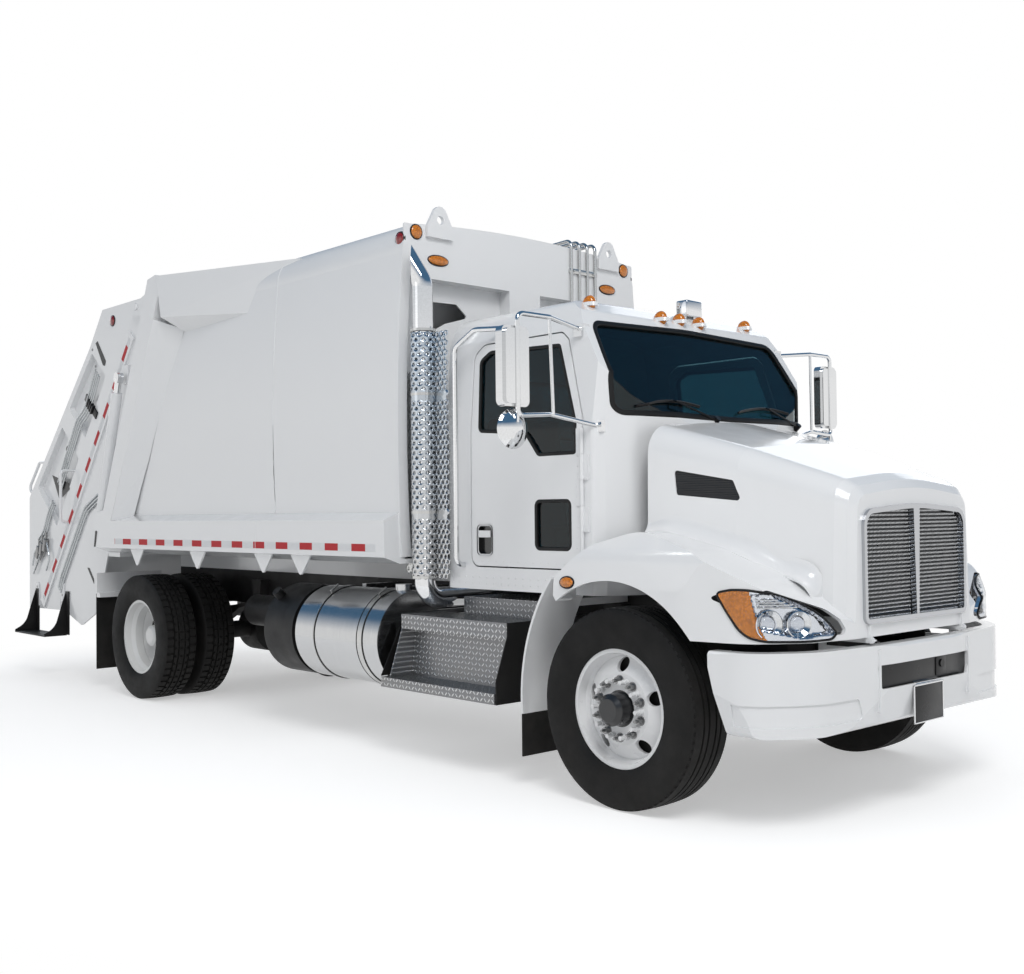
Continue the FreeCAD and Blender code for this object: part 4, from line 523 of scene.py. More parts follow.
def tapeFinish(name, settings):
    # red and white blocks along a direction, with the small cells of reflecting tape
    material, tree, shader = newMaterial(name, settings)
    coord = tree.nodes.new("ShaderNodeTexCoord").outputs["Object"]
    along = tree.nodes.new("ShaderNodeVectorMath")
    along.operation = "DOT_PRODUCT"
    along.inputs[1].default_value = settings["way"]
    tree.links.new(coord, along.inputs[0])
    blocks = mathNode(tree, "SUBTRACT", along.outputs["Value"], settings["start"])
    blocks = mathNode(tree, "FRACT", mathNode(tree, "DIVIDE", blocks, settings["pitch"]))
    red = mathNode(tree, "LESS_THAN", blocks, settings["share"])
    cells = cellNode(tree, coord, 260.0)
    color = mixColor(tree, red, (*settings["color"], 1), (0.50, 0.006, 0.012, 1))
    shine = rangeNode(tree, cells, 0.0, 0.6, 0.0, 0.05)
    linkAll(tree, shader, {"Base Color": mixColor(tree, shine, color, (0.9, 0.85, 0.85, 1)),
                           "Roughness": rangeNode(tree, cells, 0.0, 0.6, 0.4, 0.6)})
    bumpInto(tree, shader, cells, 0.0003)
    return material


def lensFinish(name, settings):
    # moulded coloured lens: ribs under a glossy skin
    material, tree, shader = newMaterial(name, settings)
    cells = cellNode(tree, objectPlace(tree)[0], 110.0)
    deep = tuple(part * 0.45 for part in settings["color"]) + (1,)
    color = mixColor(tree, rangeNode(tree, cells, 0.1, 0.7, 0.0, 0.8), (*settings["color"], 1), deep)
    linkAll(tree, shader, {"Base Color": color})
    bumpInto(tree, shader, cells, 0.0006, 0.6)
    return material


def lampBowl(name, settings):
    # the headlamp's bright inside, amber towards the side of the truck
    material, tree, shader = newMaterial(name, settings)
    coord, place = objectPlace(tree)
    lean = mathNode(tree, "MULTIPLY", mathNode(tree, "SUBTRACT", place["Z"], 1.0), settings["amberLean"])
    amber = mathNode(tree, "LESS_THAN", mathNode(tree, "ADD", place["X"], lean), settings["amberAt"])
    color = mixColor(tree, amber, (*settings["color"], 1), (0.85, 0.22, 0.01, 1))
    metal = mathNode(tree, "SUBTRACT", 1.0, amber)
    linkAll(tree, shader, {"Base Color": color, "Metallic": metal,
                           "Roughness": rangeNode(tree, amber, 0.0, 1.0, 0.12, 0.3)})
    bumpInto(tree, shader, cellNode(tree, coord, 70.0), 0.0012, 0.5)
    return material


def tyreRubber(name, settings):
    # dull rubber, a little dusty on the tread, with fine moulded rings on the sidewall
    material, tree, shader = newMaterial(name, settings)
    color = (*settings["color"], 1)
    dust = {"Color": color, "Film Color": (0.05, 0.045, 0.04, 1), "Amount": 0.35, "Height": 1.6}
    film = placeGroup(tree, "film", dust)
    grain = placeGroup(tree, "cast", {"Color": color, "Scale": 260.0})
    low = settings["roughness"]
    rough = rangeNode(tree, grain.outputs["Tone"], 0.3, 0.7, low * 0.85, low * 1.15)
    linkAll(tree, shader, {"Base Color": film.outputs["Color"], "Roughness": rough})
    bumpInto(tree, shader, grain.outputs["Height"], 0.0003)
    return material


def perforatedSteel(name, settings):
    # stainless sheet with painted reflection of the sky: bluer towards the top
    material = brightMetal(name, settings)
    tree = material.node_tree
    # painted reflection: the sheet's colour turns blue with height, standing in for reflected sky
    skyReflection = rangeNode(tree, objectPlace(tree)[1]["Z"], 1.2, 2.6, 0.0, 0.55)
    return paintOver(material, skyReflection, (0.42, 0.52, 0.62))


# the tailgate's slanted track: down along it, back across it, and its top end

trackSlope = math.radians(50.6)
trackDown = Vector((-math.cos(trackSlope), 0, -math.sin(trackSlope)))
trackBack = Vector((-math.sin(trackSlope), 0, math.cos(trackSlope)))
trackStart = at(-5.5, 0, 3.07)

# finishes: what several of them share, then the maker and the settings of each

bodyWhite = {"color": (0.86, 0.865, 0.87), "roughness": 0.2, "coat": 0.6, "coatRoughness": 0.05, "film": 0.03,
             "cloud": 0.02}
tapeColors = {"color": (0.80, 0.81, 0.82), "pitch": 0.298, "share": 0.5, "roughness": 0.5, "specular": 0.2}
lensSettings = {"coat": 0.6, "coatRoughness": 0.03}
finishes = {
    "white": (paintedMetal, bodyWhite),
    "doorWhite": (doorPaint, {**bodyWhite, "pocket": (axleX - 1.28, axleX - 1.152, 1.243, 1.416, 0.9485)}),
    "wheelWhite": (hubWheel, {"color": (0.84, 0.84, 0.84), "roughness": 0.28, "coat": 0.3, "film": 0.08,
                              "hub": axleX, "hubHeight": 0.505, "hubRadius": 0.092}),
    "rearWheelWhite": (paintedMetal, {"color": (0.82, 0.82, 0.81), "roughness": 0.3, "coat": 0.3,
                                      "film": 0.15}),
    "black": (paintedMetal, {"color": (0.006, 0.006, 0.0065), "roughness": 0.45, "film": 0.06,
                             "specular": 0.3}),
    "blackPlastic": (paintedMetal, {"color": (0.006, 0.006, 0.007), "roughness": 0.3, "film": 0.02,
                                    "specular": 0.35}),
    "cast": (castMetal, {"color": (0.014, 0.014, 0.015), "roughness": 0.6, "metallic": 0.2, "film": 0.12,
                         "specular": 0.3}),
    "tread": (treadPlate, {"color": (0.22, 0.225, 0.235), "barColor": (0.62, 0.625, 0.63), "roughness": 0.36,
                           "metallic": 0.9, "pitch": 0.031}),
    "tank": (brightMetal, {"color": (0.60, 0.605, 0.61), "roughness": 0.14, "metallic": 1.0,
                           "stretch": (220.0, 6.0, 6.0)}),
    "chrome": (brightMetal, {"color": (0.78, 0.785, 0.79), "roughness": 0.04, "spread": 0.04, "metallic": 1.0,
                             "depth": 0.00001}),
    "chromeWire": (brightMetal, {"color": (0.70, 0.71, 0.72), "roughness": 0.12, "spread": 0.05,
                                 "metallic": 1.0, "depth": 0.00001}),
    "grille": (grilleMetal, {"color": (0.50, 0.51, 0.53), "panel": axleX + 0.966, "vents": 0.6}),
    "stainless": (brightMetal, {"color": (0.60, 0.60, 0.59), "roughness": 0.18, "metallic": 1.0,
                                "stretch": (160.0, 160.0, 3.0)}),
    "shieldSteel": (perforatedSteel, {"color": (0.60, 0.60, 0.60), "roughness": 0.16, "metallic": 1.0,
                                      "stretch": (90.0, 90.0, 3.0)}),
    "nutSteel": (brightMetal, {"color": (0.30, 0.30, 0.30), "roughness": 0.32, "metallic": 1.0,
                               "stretch": (90.0, 90.0, 90.0)}),
    "glass": (tintedGlass, {"color": (0.05, 0.15, 0.18), "roughness": 0.01, "transmission": 1.0, "ior": 1.4}),
    "lamp": (tintedGlass, {"color": (0.95, 0.96, 0.97), "roughness": 0.02, "transmission": 1.0, "ior": 1.35}),
    "lampCover": (tintedGlass, {"color": (0.97, 0.98, 0.99), "roughness": 0.0, "transmission": 1.0,
                                "ior": 1.12}),
    "lampRound": (tintedGlass, {"color": (0.93, 0.95, 0.98), "roughness": 0.02, "transmission": 1.0,
                                "ior": 1.5}),
    "lampBowl": (lampBowl, {"color": (0.72, 0.74, 0.78), "amberAt": axleX + 0.64, "amberLean": 0.55}),
    "tubeSteel": (brightMetal, {"color": (0.52, 0.54, 0.55), "roughness": 0.22, "metallic": 0.9,
                                "stretch": (60.0, 60.0, 60.0)}),
    "amberLens": (lensFinish, {**lensSettings, "color": (0.86, 0.26, 0.012), "roughness": 0.12}),
    "redLens": (lensFinish, {**lensSettings, "color": (0.35, 0.012, 0.012), "roughness": 0.14}),
    "railTape": (tapeFinish, {**tapeColors, "way": (1.0, 0.0, 0.0), "start": axleX - 2.185}),
    "gateTape": (tapeFinish, {**tapeColors, "way": trackDown, "start": 0.0}),
    "rubber": (castMetal, {"color": (0.006, 0.006, 0.006), "roughness": 0.5, "scale": 300.0, "film": 0.02,
                           "depth": 0.0001, "specular": 0.3}),
    "flap": (castMetal, {"color": (0.008, 0.008, 0.008), "roughness": 0.7, "scale": 300.0, "film": 0.08,
                         "depth": 0.0002, "specular": 0.25}),
    "tyre": (tyreRubber, {"color": (0.0065, 0.0065, 0.0065), "roughness": 0.68, "specular": 0.22}),
    "trim": (castMetal, {"color": (0.05, 0.05, 0.053), "roughness": 0.65, "scale": 600.0, "film": 0.0,
                         "depth": 0.0001}),
    "packer": (paintedMetal, {"color": (0.78, 0.785, 0.79), "roughness": 0.35, "film": 0.25,
                              "filmHeight": 3.2}),
}
materials = {name: make(name + "Finish", settings) for name, (make, settings) in finishes.items()}

finishOf = {
    "doorWhite": ["door_right", "door_left"],
    "white": ["hood", "cab_shell", "quarter_fenders", "front_bumper", "body_sides", "body_roof",
              "body_bulkhead", "body_rear_frame", "body_floor", "tailgate_frame", "tailgate_hopper",
              "lift_barrel_right", "lift_barrel_left", "grab_loops"],
    "wheelWhite": ["front_wheel_right", "front_wheel_left"],
    "rearWheelWhite": ["rear_wheels_right", "rear_wheels_left"],
    "black": ["frame_rails", "radiator", "urea_tank", "air_tanks", "riding_steps"],
    "cast": ["front_axle", "rear_axle", "leaf_springs", "drive_shaft", "engine_block", "knuckle_right",
             "knuckle_left"],
    "packer": ["carrier_panel", "packer_blade", "ejector_panel", "packer_barrels", "slide_barrels"],
    "tread": ["side_steps"],
    "tank": ["fuel_tank"],
    "chrome": ["exhaust_stack", "grab_rails", "lift_rod_right", "lift_rod_left", "packer_rods", "mirrors"],
    "stainless": ["exhaust_shield", "hydraulic_tubes"],
    "glass": ["cab_glass", "door_glass_right", "door_glass_left"],
    "lamp": ["headlamps"],
    "grille": ["grille"],
    "flap": ["mudflaps"],
    "tyre": ["front_tyre_right", "front_tyre_left", "rear_tyres_right", "rear_tyres_left"],
    "trim": ["seats", "dashboard"],
}
for finish, names in finishOf.items():
    for name in names:
        nodes[name].data.materials.clear()
        nodes[name].data.materials.append(materials[finish])
print("materials made")


# building helpers: every piece is made in place, so its object stays at the origin


def putOnBody(mesh, name, finish, body, sharp=35):
    # turns a mesh into a piece with its finish and its body
    data = bpy.data.meshes.new(name)
    mesh.to_mesh(data)
    mesh.free()
    data.materials.append(materials[finish])
    data.shade_smooth()
    if sharp:
        data.set_sharp_from_angle(angle=math.radians(sharp))
    piece = bpy.data.objects.new(name, data)
    bpy.context.scene.collection.objects.link(piece)
    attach(piece, body)
    return piece


def clean(mesh):
    bmesh.ops.remove_doubles(mesh, verts=mesh.verts, dist=0.00002)
    bmesh.ops.recalc_face_normals(mesh, faces=mesh.faces)


def settle(mesh, name, finish, body, sharp=35):
    clean(mesh)
    return putOnBody(mesh, name, finish, body, sharp)


def addWall(piece, thickness, offset=0.0):
    wall = piece.modifiers.new("wall", "SOLIDIFY")
    wall.thickness = thickness
    wall.offset = offset


def turnTo(axis):
    # the turn that points Z along an axis
    return Vector(axis).to_track_quat("Z", "Y").to_matrix().to_4x4()


def addBox(mesh, spot, size, turn=None, edge=0.0, steps=2):
    place = Matrix.Translation(spot) @ (turn or Matrix()) @ Matrix.Diagonal((*size, 1))
    verts = bmesh.ops.create_cube(mesh, size=1, matrix=place)["verts"]
    if edge:
        edges = list({side for vert in verts for side in vert.link_edges})
        bmesh.ops.bevel(mesh, geom=edges, offset=edge, segments=steps, profile=0.5, affect="EDGES",
                        material=-1)


def along(start, end):
    # the turn that lays a Z-long shape from start to end
    return Matrix.Translation((start + end) / 2) @ turnTo(end - start)


def addRod(mesh, start, end, radius, sides=16, endRadius=None):
    start, end = Vector(start), Vector(end)
    last = radius if endRadius is None else endRadius
    bmesh.ops.create_cone(mesh, cap_ends=True, segments=sides, radius1=radius, radius2=last,
                          depth=(end - start).length, matrix=along(start, end))


def addBall(mesh, place, sizes, around, tall):
    matrix = place @ Matrix.Diagonal((*sizes, 1))
    return bmesh.ops.create_uvsphere(mesh, u_segments=around, v_segments=tall, radius=1,
                                     matrix=matrix)["verts"]


def addBead(mesh, spot, turn, sizes):
    matrix = Matrix.Translation(spot) @ turn @ Matrix.Diagonal((*sizes, 1))
    bmesh.ops.create_icosphere(mesh, subdivisions=1, radius=1, matrix=matrix)


def addRivets(mesh, spots, axis, radius, height):
    for spot in spots:
        addBead(mesh, spot, turnTo(axis), (radius, radius, height))


def pushOut(mesh, faces, shift, keep=False):
    grown = bmesh.ops.extrude_face_region(mesh, geom=faces, use_keep_orig=keep)["geom"]
    bmesh.ops.translate(mesh, verts=[part for part in grown if isinstance(part, bmesh.types.BMVert)],
                        vec=shift)


def addPlate(mesh, corners, thickness):
    # a flat plate through a few corners, grown by a thickness vector
    pushOut(mesh, [mesh.faces.new([mesh.verts.new(corner) for corner in corners])], thickness)


def surfaceOf(node):
    # a finder for points on a CAD node's surface
    data = nodes[node].data
    return BVHTree.FromPolygons([vert.co for vert in data.vertices],
                                [list(face.vertices) for face in data.polygons])


def meets(tree, origin, direction, reach=6.0):
    # where a straight line from origin first meets a surface, or None
    spot, normal, index, distance = tree.ray_cast(Vector(origin), Vector(direction), reach)
    return (spot, normal) if spot is not None else None


def sideHit(tree, x, z, sign, reach=1.2):
    # where a surface is met from the truck's side
    return meets(tree, at(x, sign * 2, z), (0, -sign, 0), reach)


def spinRing(mesh, profile, centre, axis, steps):
    # turns an open or closed (along, radius) profile a full circle about an axis through centre
    axis = Vector(axis)
    out = Vector((0, 0, 1)) if abs(axis.z) < 0.5 else Vector((1, 0, 0))
    verts = [mesh.verts.new(centre + axis * a + out * r) for a, r in profile]
    edges = [mesh.edges.new(pair) for pair in zip(verts, verts[1:])]
    bmesh.ops.spin(mesh, geom=verts + edges, cent=centre, axis=axis, dvec=(0, 0, 0),
                   angle=math.tau, steps=steps, use_merge=True)


def bandProfile(half, inner, outer):
    return ((-half, inner), (half, inner), (half, outer), (-half, outer), (-half, inner))


# tyres: a turned carcass with grooves, then slots pressed into its ribs

tyreSettings = {"steps": 150, "half": 0.14, "radius": 0.5045, "bead": 0.2990, "groove": 0.013, "gap": 0.0055,
                "grooves": (-0.064, -0.026, 0.026, 0.064), "crown": 0.0035, "crownHalf": 0.108,
                "treadDepth": 0.012, "treadHalf": 0.127, "innerRibs": 0.066, "innerShift": 1.5}
# how far down and how far out a face may lie to get a slot, which faces take one, its inset and depth
slotKinds = {"rear": {"skin": 0.0075, "from": 0.0, "every": 3, "inset": 0.0022, "depth": -0.010},
             "front": {"skin": 0.011, "from": 0.115, "every": 2, "inset": 0.004, "depth": -0.004}}


def tyreProfile(settings):
    half, top, bead = settings["half"], settings["radius"], settings["bead"]
    side = [(0.118, bead), (0.128, bead + 0.012), (0.1365, bead + 0.05), (0.1375, bead + 0.056),
            (0.139, bead + 0.062), (half, bead + 0.11), (0.1385, bead + 0.148), (0.134, bead + 0.172),
            (0.1335, bead + 0.176), (0.128, top - 0.012), (0.121, top - 0.004)]
    profile = [(-a, r) for a, r in side]
    for place in settings["grooves"]:
        high = top - settings["crown"] * (place / settings["crownHalf"]) ** 2
        low = high - settings["groove"]
        left, right = place - settings["gap"], place + settings["gap"]
        profile += [(left - 0.001, high), (left + 0.001, low), (right - 0.001, low), (right + 0.001, high)]
    profile += [(a, r) for a, r in reversed(side)]
    profile.append(profile[0])
    return profile


def takesSlot(spot, middle, y, settings, kind):
    across = abs(spot.y - y)
    reach = math.hypot(spot.x - middle.x, spot.z - middle.z)
    if reach < settings["radius"] - settings["treadDepth"] or across > settings["treadHalf"]:
        return False
    turn = math.atan2(spot.x - middle.x, spot.z - middle.z) % math.tau / math.tau * settings["steps"]
    shift = 0 if across > settings["innerRibs"] else settings["innerShift"]
    chosen = int(turn + shift + 0.001) % kind["every"] == 0
    return chosen and across >= kind["from"] and reach > settings["radius"] - kind["skin"]


def makeTyres(name, node, body, settings, kind):
    low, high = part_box(node)
    mesh = bmesh.new()
    width = settings["half"] * 2
    centres = [low.y + width / 2]
    if high.y - low.y > width * 1.5:
        centres.append(high.y - width / 2)
    middle = Vector(((low.x + high.x) / 2, 0, (low.z + high.z) / 2))
    for y in centres:
        one = bmesh.new()
        spinRing(one, tyreProfile(settings), Vector((middle.x, y, middle.z)), (0, 1, 0), settings["steps"])
        clean(one)
        slots = [face for face in one.faces
                 if takesSlot(face.calc_center_median(), middle, y, settings, kind)]
        if slots:
            bmesh.ops.inset_individual(one, faces=slots, thickness=kind["inset"], depth=kind["depth"])
        data = bpy.data.meshes.new("part")
        one.to_mesh(data)
        one.free()
        mesh.from_mesh(data)
        bpy.data.meshes.remove(data)
    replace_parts(settle(mesh, name, "tyre", body, 30), node)


for side in ("right", "left"):
    makeTyres("frontTyre_" + side, "front_tyre_" + side, "front_wheel_" + side, tyreSettings,
              slotKinds["front"])
    makeTyres("rearTyres_" + side, "rear_tyres_" + side, "rear_wheels_" + side, tyreSettings,
              slotKinds["rear"])
print("tyres made")

# rubber seals: a band along the edge of each pane


def sealBand(name, node, keep, body, settings):
    # keeps the pane's outer face, then turns its rim into a band that stands over the edge of the opening
    mesh = bmesh.new()
    mesh.from_mesh(nodes[node].data)
    bmesh.ops.remove_doubles(mesh, verts=mesh.verts, dist=0.0001)
    mesh.normal_update()
    gone = [face for face in mesh.faces if not keep(face.calc_center_median(), face.normal)]
    bmesh.ops.delete(mesh, geom=gone, context="FACES")
    bmesh.ops.dissolve_limit(mesh, angle_limit=math.radians(0.6), verts=mesh.verts, edges=mesh.edges,
                             delimit={"NORMAL"})
    band = set(bmesh.ops.inset_region(mesh, faces=list(mesh.faces), thickness=settings["inner"], depth=0.0,
                                      use_boundary=True, use_even_offset=True)["faces"])
    bmesh.ops.delete(mesh, geom=[face for face in mesh.faces if face not in band], context="FACES")
    piece = putOnBody(mesh, name, "rubber", body, 0)
    addWall(piece, settings["depth"], 1.0)
    soften = piece.modifiers.new("round", "BEVEL")
    soften.width = settings["round"]
    soften.segments = 2
    soften.limit_method = "ANGLE"
    soften.angle_limit = math.radians(50)


screenSeal = {"inner": 0.030, "depth": 0.017, "round": 0.004}
doorSeal = {"inner": 0.020, "depth": 0.016, "round": 0.003}
cabMiddle = (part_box("cab_shell")[0].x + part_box("cab_shell")[1].x) / 2
sealTilt = 0.12  # a pane's outer face looks outward by more than this
sealBand("windshieldSeal", "cab_glass", lambda spot, normal: spot.x > cabMiddle and normal.x > sealTilt,
         "chassis", screenSeal)
sealBand("rearPaneSeal", "cab_glass", lambda spot, normal: spot.x < cabMiddle and normal.x < -sealTilt,
         "chassis", doorSeal)
for side, sign in bothSides:
    sealBand("doorSeals_" + side, "door_glass_" + side, lambda spot, normal: normal.y * sign > sealTilt,
             "door_" + side, doorSeal)
print("seals made")

# helpers for bent pipes


def rounded(points, corner, steps=5):
    # a run of straight pieces with its corners turned to arcs, as a bent pipe has
    points = [Vector(point) for point in points]
    path = [points[0]]
    for before, here, after in zip(points, points[1:], points[2:]):
        inward, outward = (before - here), (after - here)
        cut = min(corner, inward.length * 0.45, outward.length * 0.45)
        start, end = here + inward.normalized() * cut, here + outward.normalized() * cut
        for step in range(steps + 1):
            t = step / steps
            path.append(start * (1 - t) ** 2 + here * 2 * t * (1 - t) + end * t ** 2)
    path.append(points[-1])
    return path


def pipes(name, runs, radius, corner, finish, body):
    curve = bpy.data.curves.new(name + "Line", "CURVE")
    curve.dimensions = "3D"
    curve.bevel_depth = radius
    curve.bevel_resolution = 2
    curve.use_fill_caps = True
    for run in runs:
        path = rounded(run, corner) if len(run) > 2 else [Vector(point) for point in run]
        spline = curve.splines.new("POLY")
        spline.points.add(len(path) - 1)
        for point, place in zip(spline.points, path):
            point.co = (*place, 1)
    holder = bpy.data.objects.new(name + "Line", curve)
    data = bpy.data.meshes.new_from_object(holder)
    bpy.data.objects.remove(holder)
    mesh = bmesh.new()
    mesh.from_mesh(data)
    settle(mesh, name, finish, body)


# warning tape: one thin strip, its blocks come from the finish

tapeSettings = {"width": 0.046, "thick": 0.0012, "railHeight": 1.279, "railOut": 1.2192,
                "railFrom": -1.93, "railTo": -5.62, "gateFrom": 0.1, "gateTo": 3.06}


def onTrack(s, n, y):
    # a place along and across the tailgate's track
    return trackStart + trackDown * s + trackBack * n + Vector((0, y, 0))


def fromTrack(x, z):
    spot = at(x, 0, z) - trackStart
    return spot.dot(trackDown), spot.dot(trackBack)


gatePlain = 1.09  # half the tailgate's width over its side plates
gateSurface = surfaceOf("tailgate_frame")


def gateFace(s, n, sign):
    # the tailgate side's outer face at a place along and across the track
    hit = meets(gateSurface, onTrack(s, n, sign * 2.0), (0, -sign, 0), 1.4)
    return hit[0].y if hit else sign * gatePlain


def makeTape(settings):
    for side, sign in bothSides:
        y, z = sign * settings["railOut"], settings["railHeight"]
        rail = (at(settings["railFrom"], y, z), at(settings["railTo"], y, z), Vector((0, 0, 1)))
        y = gateFace(1.2, 0.0, sign) + sign * 0.0003
        gate = (onTrack(settings["gateFrom"], 0, y), onTrack(settings["gateTo"], 0, y), trackBack)
        for name, body, (first, last, across) in (("railTape", "chassis", rail),
                                                  ("gateTape", "tailgate", gate)):
            across = across * (settings["width"] / 2)
            corners = (first - across, last - across, last + across, first + across)
            mesh = bmesh.new()
            addPlate(mesh, corners, Vector((0, sign * settings["thick"], 0)))
            settle(mesh, name + "_" + side, name, body)


makeTape(tapeSettings)

# marker lamps: a black grommet with a domed lens

lampSettings = {"grommet": 0.008, "deep": 0.012, "lift": 0.004, "height": 0.014}


def addMarker(lens, rim, spot, axis, halfWide, halfTall):
    # lens and rim are two meshes; the lens is stretched to its half sizes
    axis = Vector(axis).normalized()
    up = (Vector((0, 0, 1)) - axis * axis.z).normalized()
    place = Matrix.Translation(spot) @ Matrix((up.cross(axis), up, axis)).transposed().to_4x4()
    grow = lampSettings["grommet"]
    sizes = (halfWide + grow, halfTall + grow, lampSettings["deep"], 1)
    bmesh.ops.create_cone(rim, cap_ends=True, segments=28, radius1=1, radius2=0.93, depth=1,
                          matrix=place @ Matrix.Diagonal(sizes))
    place = place @ Matrix.Translation((0, 0, lampSettings["lift"]))
    addBall(lens, place, (halfWide, halfTall, lampSettings["height"]), 24, 10)


def settleMarkers(lens, rims, names, finish, body):
    settle(lens, names[0], finish, body)
    settle(rims, names[1], "rubber", body)


bulkheadSettings = {"lamps": ((0.961, 3.25, 0.043, 0.043), (0.786, 3.091, 0.082, 0.030)), "face": -1.83,
                    "reflector": (-1.875, 3.20, 0.04), "gateLamp": (-5.929, 3.187, 0.043)}
frontSurface = surfaceOf("body_bulkhead")


def makeMarkers(settings):
    amber, amberRims, red, redRims = bmesh.new(), bmesh.new(), bmesh.new(), bmesh.new()
    for side, sign in bothSides:
        for y, z, wide, tall in settings["lamps"]:
            hit = meets(frontSurface, at(-1.0, sign * y, z), (-1, 0, 0), 1.2)
            spot = hit[0] if hit else at(settings["face"], sign * y, z)
            addMarker(amber, amberRims, spot, (1, 0, 0), wide, tall)
        x, z, radius = settings["reflector"]
        hit = sideHit(frontSurface, x, z, sign, 1.5) or sideHit(surfaceOf("body_sides"), x, z, sign, 1.5)
        if hit:
            addMarker(red, redRims, hit[0], (0, sign, 0), radius, radius)
    settleMarkers(amber, amberRims, ("bulkheadLamps", "bulkheadLampRims"), "amberLens", "chassis")
    settleMarkers(red, redRims, ("cornerReflectors", "cornerReflectorRims"), "redLens", "chassis")
    red, redRims = bmesh.new(), bmesh.new()
    x, z, radius = settings["gateLamp"]
    s, n = fromTrack(x, z)
    for side, sign in bothSides:
        addMarker(red, redRims, onTrack(s, n, gateFace(s, n, sign)), (0, sign, 0), radius, radius)
    settleMarkers(red, redRims, ("gateLamps", "gateLampRims"), "redLens", "tailgate")


makeMarkers(bulkheadSettings)

# roof: five amber clearance lamps and a bright housing between them

roofSettings = {"lamps": ((-0.571, -0.717), (-0.51, -0.176), (-0.517, 0.0), (-0.51, 0.176), (-0.571, 0.717)),
                "half": (0.052, 0.030, 0.044), "front": 0.75, "rim": 0.006, "foot": 0.022,
                "housing": (-0.62, 0.22), "housingSize": (0.09, 0.15, 0.10), "legs": (-0.045, 0.045)}
cabSurface = surfaceOf("cab_shell")


def makeRoofLamps(settings):
    lens, base = bmesh.new(), bmesh.new()
    longWay, wide, tall = settings["half"]
    sizes = (longWay + settings["rim"], wide + settings["rim"], 1, 1)
    for x, y in settings["lamps"]:
        spot = meets(cabSurface, at(x, y, 3.2), (0, 0, -1))[0]
        place = Matrix.Translation(spot)
        bmesh.ops.create_cone(base, cap_ends=True, segments=24, radius1=1, radius2=0.9,
                              depth=settings["foot"],
                              matrix=place @ Matrix.Translation((-0.004, 0, 0.006)) @ Matrix.Diagonal(sizes))
        made = addBall(lens, place @ Matrix.Translation((0, 0, 0.014)), (longWay, wide, tall), 20, 12)
        for vert in made:
            if vert.co.x > spot.x:
                vert.co.x = spot.x + (vert.co.x - spot.x) * settings["front"]
    settle(lens, "roofLamps", "amberLens", "chassis")
    settle(base, "roofLampBases", "white", "chassis")
    x, y = settings["housing"]
    spot = meets(cabSurface, at(x, y, 3.2), (0, 0, -1))[0]
    mesh = bmesh.new()
    addBox(mesh, spot + Vector((0, 0, 0.054)), settings["housingSize"], edge=0.012, steps=3)
    for y in settings["legs"]:
        addRod(mesh, spot + Vector((0, y, -0.01)), spot + Vector((0, y, 0.02)), 0.012)
    settle(mesh, "roofHousing", "chrome", "chassis")


makeRoofLamps(roofSettings)
print("tape and lamps made")

# exhaust shield: staggered holes cut in a plate, then rolled

shieldSettings = {"across": 10, "row": 0.030, "hole": 0.0092, "wall": 0.0016, "plainRows": (12, 13, 36, 37),
                  "bandHalf": 0.008, "bandThick": 0.002, "bandEdge": 0.006, "bandInset": 0.4,
                  "cabWide": 0.15, "columns": 3, "start": 0.012}
stripSettings = {"columns": 3, "pitch": 0.04, "row": 0.05, "hole": 0.0042, "out": 0.125, "start": 0.05,
                 "short": 0.26}


def holedPlate(mesh, columns, rows, pitch, row, hole, plain=()):
    # six-sided cells, every second row set over by half a pitch, in the XZ plane from the corner up
    corners = ((0, 2 / 3 * row), (-pitch / 2, row / 3), (-pitch / 2, -row / 3),
               (0, -2 / 3 * row), (pitch / 2, -row / 3), (pitch / 2, row / 3))
    for level in range(rows):
        for column in range(columns):
            x, z = (column + (0.5 if level % 2 else 0.0)) * pitch, level * row
            face = mesh.faces.new([mesh.verts.new((x + dx, 0, z + dz)) for dx, dz in corners])
            if level in plain:
                continue
            bmesh.ops.subdivide_edges(mesh, edges=list(face.edges), cuts=1)
            bmesh.ops.inset_individual(mesh, faces=[face], thickness=0.004, depth=0)
            for vert in face.verts:
                out = Vector((vert.co.x - x, 0, vert.co.z - z)).normalized() * hole
                vert.co = (x + out.x, 0, z + out.z)
            bmesh.ops.delete(mesh, geom=[face], context="FACES_ONLY")


def solidPiece(mesh, name, wall, finish):
    piece = settle(mesh, name, finish, "chassis", 40)
    addWall(piece, wall)
    return piece


def makeShield(settings):
    low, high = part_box("exhaust_shield")
    centre = (low + high) / 2
    radius = (high.x - low.x) / 2 - settings["wall"]
    pitch = math.tau * radius / settings["across"]
    rows = int((high.z - low.z) / settings["row"])
    mesh = bmesh.new()
    holedPlate(mesh, settings["across"], rows, pitch, settings["row"], settings["hole"],
               settings["plainRows"])
    for vert in mesh.verts:
        turn = vert.co.x / radius
        height = low.z - centre.z + settings["start"] + vert.co.z
        vert.co = centre + Vector((math.cos(turn) * radius, math.sin(turn) * radius, height))
    piece = solidPiece(mesh, "heatShield", settings["wall"], "shieldSteel")
    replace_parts(piece, "exhaust_shield")
    mesh = bmesh.new()
    band = bandProfile(settings["bandHalf"], radius + 0.001, radius + 0.001 + settings["bandThick"])
    edge, inset = settings["bandEdge"], settings["bandInset"]
    for z in (low.z + edge, low.z + inset, high.z - inset, high.z - edge):
        spinRing(mesh, band, Vector((centre.x, centre.y, z)), (0, 0, 1), 48)
    settle(mesh, "shieldBands", "stainless", "chassis")
    mesh = bmesh.new()
    wide = settings["cabWide"] / (settings["columns"] + 0.5)
    holedPlate(mesh, settings["columns"], rows, wide, settings["row"], settings["hole"],
               settings["plainRows"])
    start = Vector((high.x - 0.004, centre.y + 0.03, low.z + settings["start"]))
    bmesh.ops.translate(mesh, verts=mesh.verts, vec=start)
    solidPiece(mesh, "shieldWing", settings["wall"], "shieldSteel")
    makeStrip(stripSettings, low, high, centre, settings["wall"])


